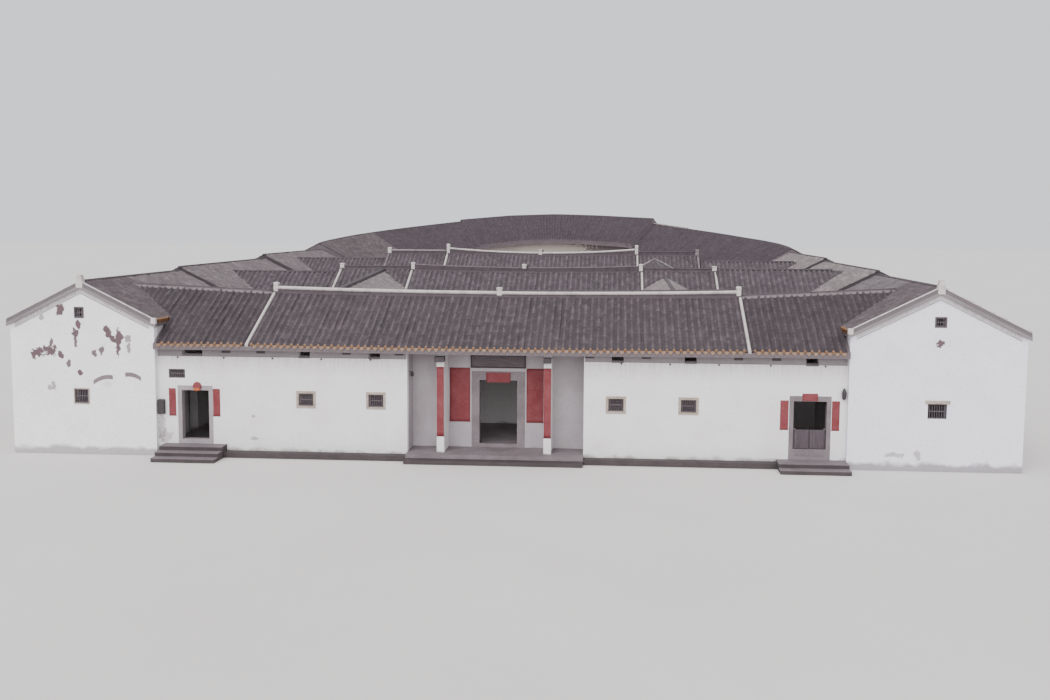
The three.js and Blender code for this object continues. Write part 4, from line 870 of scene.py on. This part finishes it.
# Hall ridges: the centre's finish, cap, bow, block and knob foot, then the parts beside it: their
# caps and blocks, the finishes of both at each end, and that of the outer verges.
HALL_RIDGES = {
    "middle": {"centre": (RIDGE_MID, (0.22, 0.25, 0.06), 0.07, 0.4), "knob_foot": 0.19,
               "side_cap": (0.2, 0.16, 0.05), "side_block": 0.28, "outer_verge": RIDGE_WHITE,
               "west": (RIDGE_DARK, RIDGE_WHITE), "east": (RIDGE_DARK, RIDGE_WHITE)},
    "rear": {"centre": (RIDGE_WHITE, (0.24, 0.2, 0.1), 0.2, 0.62), "knob_foot": -0.1,
             "side_cap": (0.2, 0.27, 0.08), "side_block": 0.41, "outer_verge": RIDGE_DULL,
             "west": (RIDGE_GREY, RIDGE_WHITE), "east": (RIDGE_DARK, RIDGE_DULL)},
}


def dress_hall_ridges():
    for name, hall in HALLS.items():
        y, reach, look = hall["y"], hall["reach"], HALL_RIDGES[name]
        top = hall["side"][0]
        centre_ridge(name, y, HALL_HALF, partial(hall_ridge, hall), *look["centre"], -0.1,
                     knob_foot=look["knob_foot"])
        for sign, end in ENDS:
            cap_finish, block_finish = look[end]
            verge(f"{name}_verge_{end}", sign * (HALL_HALF - 0.05), y, reach, *hall["centre"], RIDGE_WHITE)
            verge(f"{name}_outer_verge_{end}", sign * (CENTRE_HALF - 0.05), y, reach, *hall["side"],
                  look["outer_verge"], -0.3)
            path = points(sign * np.linspace(HALL_HALF + PAST_VERGE, CENTRE_HALF, 5), y, top)
            raised_cap(f"{name}_side_ridge_{end}", path, 0, look["side_cap"], cap_finish)
            carried(f"{name}_side_ridge_foot_{end}", path, FILLET, RIDGE_DARK)
            ridge_block(f"{name}_side_ridge_end_{end}", (sign * (CENTRE_HALF - 0.1), y, top),
                        look["side_block"], block_finish)
            outer = points(sign * np.array([CENTRE_HALF + 0.02, 12, FACADE_HALF + 2.2]), y, hall[end][0])
            carried(f"{name}_outer_ridge_{end}", outer, rounded(0.18, -0.05, 0.08), RIDGE_DARK)


def dress_valleys():
    """Lime mortar where the rear east gallery runs into the rear hall: at each distance from the
    gallery's ridge, the place where both slopes are equally high."""
    x, y0, y1, z0, z1 = GALLERIES["rear_east"]
    hall = HALLS["rear"]
    top, low = hall["side"]
    fall, climb = (top - low) / hall["reach"], (z1 - z0) / (y1 - y0)
    away = np.linspace(-1.7, 1.7, 11)
    y = (z0 - climb * y0 - ROW_SLOPE * np.abs(away) - top + fall * hall["y"]) / (fall - climb)
    z = z0 + climb * (y - y0) - ROW_SLOPE * np.abs(away)
    carried("rear_east_gallery_valley", points(x + away, y, z), rounded(0.14, 0.0, 0.12), RIDGE_GREY)


def dress_low_ridges():
    """The thin tiled ridges of the side rows, the galleries and the horseshoe. The front west
    gallery's is taller, and the last points of the horseshoe's east stretch are limed."""
    section, tall, limed_from = rounded(0.2, -0.06, 0.075), rounded(0.24, -0.06, 0.15), 19
    for end, row in ROWS.items():
        for part, ridge in enumerate(row["ridges"]):
            y0, y1 = SECTIONS_Y[part] + (0.1 if part == 0 else -0.01), SECTIONS_Y[part + 1]
            path = points(row["x"], np.linspace(y0, y1, 6), ridge)
            carried(f"{end}_row_ridge_{part + 1}", path, section, RIDGE_DARK)
    for name, (x, y0, y1, z0, z1) in GALLERIES.items():
        path = points(x, np.linspace(y0, y1, 5), np.linspace(z0, z1, 5))
        carried(f"{name}_gallery_ridge", path, tall if name == "front_west" else section, RIDGE_DARK)
    for part, (angles, heights) in RING_HEIGHTS.items():
        turn = np.radians(np.linspace(angles[0], angles[-1], 24))
        path = points(RING_X + RING_RADIUS * np.cos(turn), RING_Y + RING_RADIUS * np.sin(turn),
                      np.interp(np.degrees(turn), angles, heights))
        carried(f"horseshoe_ridge_{part}", path, section, RIDGE_DARK)
        if part == "east":
            path = path[limed_from:] + (0, 0, 0.05)
            carried("horseshoe_ridge_limed", path, rounded(0.22, -0.02, 0.09), RIDGE_GREY)


# The worn arcs of the west gable: three x, z points on each.
ARCS = {"left": ((-16.34, 2.95), (-15.94, 3.15), (-15.53, 3.16)),
        "right": ((-15.01, 3.28), (-14.68, 3.27), (-14.36, 3.12))}


def dress_gables():
    """Each gable's thin verge cap, the moulding below it, whose dark grey is painted shade under the verge,
    the pale frieze, a fine string line, the block at the inner foot and the tapered finial. The west one has
    two arcs, each a parabola through its three points."""
    for name, row in ROWS.items():
        reach, ridge, x = row["half"] + SIDE_EAVE_REACH, row["ridges"][0], row["x"]
        away = np.linspace(-reach - 0.01, reach + 0.01, 21)

        def swept(part, y, section, finish, trim=0, smooth=False):
            path = points(x + away, y, ridge - ROW_SLOPE * np.abs(away))
            carried(f"{name}_gable_{part}", path[trim:len(path) - trim], section, finish, smooth=smooth)

        moulding = [(-0.085, -0.27), (-0.085, -0.14), (-0.06, -0.13), (0.04, -0.13), (0.04, -0.27)]
        swept("verge", -0.3, rounded(0.11, 0.012, 0.06, 0.02), RIDGE_WHITE, smooth=True)
        swept("moulding", -0.3, moulding, FRIEZE)
        swept("frieze", -0.262, flat(0.014, -0.4, -0.26), PLAIN, 1)
        swept("string", -0.27, flat(0.015, -0.47, -0.44), RIDGE_GREY, 1)
        foot, low = x - row["sign"] * (reach - 0.08), ridge - ROW_SLOPE * reach
        blocks(f"{name}_gable_foot", [(about(foot, 0.1), (-0.4, -0.2), about(low, 0.12))], RIDGE_WHITE, 0.03)
        levels = [(0.15, 0.15, -0.24), (0.14, 0.15, 0.03), (0.1, 0.14, 0.2), (0.085, 0.13, 0.27),
                  (0.02, 0.02, 0.3)]
        stacked(f"{name}_gable_finial", (x, -0.24, ridge), levels, RIDGE_WHITE, power=8.0)
    for name, knots in ARCS.items():
        xs, zs = np.transpose(knots)
        at = np.linspace(xs[0], xs[-1], 13)
        path = points(at, -0.252, np.polyval(np.polyfit(xs, zs, 2), at))
        sizes = 0.85 + 0.12 * np.sin(3.1 * np.arange(len(at)))
        carried(f"west_gable_arc_{name}", path, flat(0.012, -0.1, 0.1), BARE_RENDER, sizes, smooth=False)


# Facade details

# The facade's two stretches of wall, the vents under their eave as x, width and sill, the ends of
# the beams there and the pegs below.
STRETCHES = ((-13.74, -3.56), (3.56, 13.74))
VENTS = ((-7.7, 0.46, 4.1), (-4.85, 0.46, 4.1), (4.85, 0.46, 4.1), (7.7, 0.46, 4.1), (-12.3, 0.83, 4.13),
         (12.4, 0.48, 4.08))
BEAM_ENDS = (-10.9, -9.47, -5.98, -3.85, 3.75, 5.97, 9.55, 11.02)
PEGS = (-12.9, -11, -9, -7, -5, 5, 6.9, 8.8, 10.8, 12.9)


def about(middle, half):
    """The span from half a width before a middle to half a width past it."""
    return middle - half, middle + half


def dress_eave_band():
    """A soft grey frieze under the front eave, between the vents, whose grey is painted shade under the eave,
    with dark beam ends in it, a board as the sill of each vent, and a faint string line and small pegs below."""
    spans = []
    for a, b in STRETCHES:
        cuts = sorted(about(x, width / 2) for x, width, _ in VENTS if a < x < b)
        edges = [a, *[edge for cut in cuts for edge in cut], b]
        spans += [((lo, hi), (-0.018, 0.01), (4.07, 4.3)) for lo, hi in zip(edges[::2], edges[1::2])]
    blocks("eave_frieze", spans, FRIEZE, 0.004)
    blocks("eave_string", [(stretch, (-0.026, 0.01), (4.045, 4.07)) for stretch in STRETCHES], FRIEZE, 0.006)
    sills = [(about(x, width / 2), (-0.032, 0.01), (sill - 0.07, sill + 0.005)) for x, width, sill in VENTS]
    blocks("eave_vent_sills", sills, BARS, 0.006)
    beams = [(about(x, 0.17), (-0.06, 0.01), (4.2, 4.31)) for x in BEAM_ENDS]
    blocks("eave_beam_ends", beams, TIMBER_X, 0.015)
    blocks("eave_pegs", [(about(x, 0.03), (-0.06, 0.01), (3.97, 4.03)) for x in PEGS], TIMBER, 0.01)


def bordered(name, x, y, z, wide, finish, worn):
    """Four boards round an opening, which is given by its spans in x and z."""
    (left, right), (bottom, top) = x, z
    blocks(name, [((left - wide, right + wide), y, (bottom - wide, bottom)),
                  ((left - wide, right + wide), y, (top, top + wide)),
                  ((left - wide, left), y, z), ((right, right + wide), y, z)], finish, worn)


def window_trim(name, x, sill, width, height, face=0.0, trim=0.0, bars=7, hood=0.0, border=BRICK):
    """A flat border round a window, a hood over it, and its casing with upright bars and a rail."""
    left, right = about(x, width / 2)
    bottom, top = sill, sill + height
    middle = (bottom + top) / 2
    if trim:
        depth = (face - 0.02, face + 0.06)
        bordered(f"{name}_border", (left, right), depth, (bottom, top), trim, border, 0.008)
    if hood:
        span = ((left - 0.1, right + 0.1), (face - hood, face + 0.05), (top + 0.01, top + 0.13))
        blocks(f"{name}_hood", [span], BRICK, 0.015)
    depth, inside = (face + 0.03, face + 0.1), (left + 0.035, right - 0.035)
    casing = [((left - 0.01, left + 0.035), depth, (bottom, top)),
              ((right - 0.035, right + 0.01), depth, (bottom, top)),
              (inside, depth, (bottom - 0.01, bottom + 0.035)), (inside, depth, (top - 0.035, top + 0.01))]
    blocks(f"{name}_casing", casing, BARS, 0.006)
    rails = [(about(at, 0.016), (face + 0.055, face + 0.085), (bottom + 0.03, top - 0.03))
             for at in np.linspace(left, right, bars + 2)[1:-1]]
    rails += [((left + 0.03, right - 0.03), (face + 0.06, face + 0.08), about(middle, 0.018))]
    blocks(f"{name}_bars", rails, BARS, 0.006)


def dress_windows():
    gable = -0.25
    for number, x in enumerate((-7.65, -4.8, 4.8, 7.65), 1):
        window_trim(f"facade_window_{number}", x, 2.1, 0.6, 0.5, trim=0.1)
    window_trim("west_gable_window", -16.85, 2.1, 0.57, 0.56, gable, 0.05)
    window_trim("east_gable_window", 17.15, 2.06, 0.73, 0.58, gable, hood=0.1)
    window_trim("west_gable_upper_window", -16.86, 5.6, 0.32, 0.37, gable, 0.045, bars=3, border=BARS)
    window_trim("east_gable_upper_window", 17.15, 5.63, 0.37, 0.33, gable, 0.045, bars=3, border=BARS)
    window_trim("west_louvre", -12.96, 3.15, 0.68, 0.37)


# Red papers: their spans in x and z, and the wall that they are pasted on.
PIER_Y, RECESS_Y = 0.05, 1.35
PAPERS = {
    "west_door_left": ((-13.31, -13.02), (1.60, 2.73), 0),
    "west_door_right": ((-11.48, -11.19), (1.60, 2.73), 0),
    "east_door_left": ((11.21, 11.53), (1.48, 2.65), 0),
    "east_door_right": ((13.20, 13.50), (1.48, 2.65), 0),
    "east_door_top": ((12.05, 12.65), (2.64, 2.93), 0),
    "pier_west": ((-2.345, -2.055), (0.95, 3.76), PIER_Y),
    "pier_east": ((1.945, 2.235), (0.95, 3.76), PIER_Y),
    "entrance_west": ((-2.0, -1.16), (1.35, 3.58), RECESS_Y),
    "entrance_east": ((1.16, 2.0), (1.35, 3.58), RECESS_Y),
    "main_door_top": ((-0.5, 0.5), (2.99, 3.4), RECESS_Y),
}


def paper_strip(name, span_x, span_z, face, paper=PAPER):
    """A pasted strip: a grid that stands off the wall by small waves and lifts at its corners."""
    u, v = np.meshgrid(np.linspace(0, 1, 9), np.linspace(0, 1, 17), indexing="ij")
    phase = CHANCE.uniform(0, PHASES)
    corner = (np.abs(2 * u - 1) ** 6) * (np.abs(2 * v - 1) ** 8)
    off = 0.012 + 0.004 * np.sin(9 * v + phase) * np.sin(5 * u + phase) + 0.02 * corner
    x = span_x[0] + (span_x[1] - span_x[0]) * u
    z = span_z[0] + (span_z[1] - span_z[0]) * v
    quads = grid_quads(*u.shape).reshape(-1, 4)
    strip = put_mesh(name, points(x, face - off, z), [quads], paper, smooth=True)
    skin = strip.modifiers.new("paper_thickness", "SOLIDIFY")
    skin.thickness, skin.offset = 0.006 * HALF, -1.0


def dress_papers():
    """The red papers, the knot over the west door and the orange tag on it."""
    for name, (span_x, span_z, face) in PAPERS.items():
        paper_strip(f"red_paper_{name}", span_x, span_z, face - 0.002)
    knot = [(0.02, 0.02, 0.0), (0.15, 0.04, 0.04), (0.19, 0.05, 0.16), (0.13, 0.05, 0.28), (0.02, 0.02, 0.33)]
    stacked("red_paper_knot", (-12.12, -0.04, 2.68), knot, PAPER, power=2.4)
    paper_strip("orange_paper_tag", (-12.24, -12.0), (2.66, 2.77), -0.09, ORANGE_PAPER)


def dress_entrance():
    """The beam ends over the piers, the name board's border, the two lamps on their arms and the box
    by the west door."""
    for x, half, end in ((-2.2, 0.2, "west"), (2.09, 0.15, "east")):
        blocks(f"beam_end_{end}", [(about(x, half), (-0.28, 0.06), (3.98, 4.2))], TIMBER_X, 0.02)
    bordered("name_board_border", (-1.08, 1.08), (1.262, 1.29), (3.64, 4.08), 0.05, TIMBER, 0.01)
    lamp = [(0.02, 0.02, 0.0), (0.06, 0.06, 0.03), (0.075, 0.075, 0.1), (0.05, 0.05, 0.17),
            (0.02, 0.02, 0.22)]
    stacked("recess_lamp", (-3.4, 0.45, 3.3), lamp, IRON, power=2.0)
    blocks("recess_lamp_arm", [((-3.53, -3.38), (0.435, 0.465), (3.48, 3.51))], IRON, 0.004)
    tall = [(0.03, 0.03, 0.0), (0.08, 0.07, 0.06), (0.09, 0.08, 0.3), (0.04, 0.04, 0.42), (0.02, 0.02, 0.45)]
    stacked("east_wall_lamp", (13.63, -0.13, 2.72), tall, IRON, power=2.6)
    blocks("east_wall_lamp_arm", [((13.61, 13.65), (-0.13, 0.0), (3.12, 3.16))], IRON, 0.004)
    blocks("west_wall_box", [((-13.73, -13.46), (-0.2, -0.002), (1.68, 2.28))], IRON, 0.02)


def dress_steps():
    """A pale, foot-worn tread on each step, whose dark stone is painted shade on the risers, and the
    threshold's two pale stones.
    """
    west, east = (-13.51, -10.93), (11.09, 13.765)
    flights = ((west, -0.7, -0.002, 0.47), (west, -1.2, -0.7, 0.31), (west, -1.65, -1.2, 0.155),
               (east, -0.94, -0.002, 0.31), (east, -1.44, -0.94, 0.155))
    treads = [(span, (front - 0.012, back), (top - 0.016, top + 0.006)) for span, front, back, top in flights]
    blocks("step_treads", treads, TREAD, 0.008)
    stones = [(span, (-0.012, 0.02), (0.46, 0.715)) for span in ((11.8, 12.362), (12.378, 12.94))]
    blocks("threshold_stones", stones, TREAD)


def dress_gate():
    """Upright boards on each half-height leaf, and two rails across its inner side."""
    for end, x0, x1 in (("west", 11.80, 12.355), ("east", 12.385, 12.94)):
        edges = np.linspace(x0, x1, 6)
        boards = [((a + 0.004, b - 0.004), (0.078, 0.096), (0.75, 1.475))
                  for a, b in zip(edges[:-1], edges[1:])]
        rails = [((x0, x1), (0.143, 0.165), (z, z + 0.07)) for z in (0.82, 1.36)]
        blocks(f"gate_boards_{end}", boards + rails, GATE, 0.005, f"{end}_leaf")


dress_front_range()
dress_halls()
dress_side_rows()
dress_galleries()
dress_horseshoe()
dress_front_ridge()
dress_hall_ridges()
dress_valleys()
dress_low_ridges()
dress_gables()
dress_eave_band()
dress_windows()
dress_papers()
dress_entrance()
dress_steps()
dress_gate()


# Studio

# The photograph's viewpoint: eye, heading to the left, tilt down, lean, and pixels of focal length.
EYE = (4.686, -46.58, 9.456)
HEADING, TILT, LEAN = 0.075, 0.106, 0.006
FOCAL_PIXELS, PICTURE_WIDTH, SENSOR = 1187.75, 1050, 36.0
FARTHEST = 500


def view_axes():
    """Right, up and back of the camera: turned, tilted down, then leaned about the line of sight."""
    ahead = np.array([-np.sin(HEADING), np.cos(HEADING), 0])
    right = np.array([np.cos(HEADING), np.sin(HEADING), 0])
    up = np.array([0, 0, 1.0])
    sight = ahead * np.cos(TILT) - up * np.sin(TILT)
    over = ahead * np.sin(TILT) + up * np.cos(TILT)
    level = right * np.cos(LEAN) + over * np.sin(LEAN)
    crown = -right * np.sin(LEAN) + over * np.cos(LEAN)
    return level, crown, -sight


def photo_camera():
    camera = bpy.data.objects.new("camera", bpy.data.cameras.new("camera"))
    camera.data.sensor_width = SENSOR
    camera.data.lens = FOCAL_PIXELS / PICTURE_WIDTH * SENSOR
    camera.data.clip_end = FARTHEST
    turn = np.eye(4)
    turn[:3, :3] = np.stack(view_axes(), axis=1)
    turn[:3, 3] = np.array(EYE) * HALF
    camera.matrix_world = Matrix(turn.tolist())
    bpy.context.scene.collection.objects.link(camera)
    bpy.context.scene.camera = camera


def studio_floor(half=220.0, low=-0.004):
    """A pale matt floor."""
    matt = Finish("pale_studio_floor", 0.95)
    matt.coloured(matt.mix(matt.patches(9.0, 0.3, 0.7), "#d6d1ce", "#dad6d3"))
    mesh = bpy.data.meshes.new("studio_floor")
    corners = [(-half, -half, low), (half, -half, low), (half, half, low), (-half, half, low)]
    mesh.from_pydata(corners, [], [(0, 1, 2, 3)])
    mesh.materials.append(matt.material)
    floor = bpy.data.objects.new("studio_floor", mesh)
    bpy.context.scene.collection.objects.link(floor)


def studio_light():
    """A soft overcast sky, a broad sun from the front left and a low, stronger fill from the front."""
    world = bpy.data.worlds.new("soft_sky")
    bpy.context.scene.world = world
    world.use_nodes = True
    sky = world.node_tree.nodes["Background"]
    sky.inputs["Color"].default_value = linear("#eceef2")
    sky.inputs["Strength"].default_value = 1.3
    for name, energy, spread, tilt, turn in (("soft_sun", 1.9, 40, 40, -25), ("front_fill", 2.7, 60, 84, 4)):
        lamp = bpy.data.objects.new(name, bpy.data.lights.new(name, "SUN"))
        lamp.data.energy, lamp.data.angle = energy, np.radians(spread)
        lamp.rotation_euler = (np.radians(tilt), 0, np.radians(turn))
        bpy.context.scene.collection.objects.link(lamp)


photo_camera()
studio_floor()
studio_light()
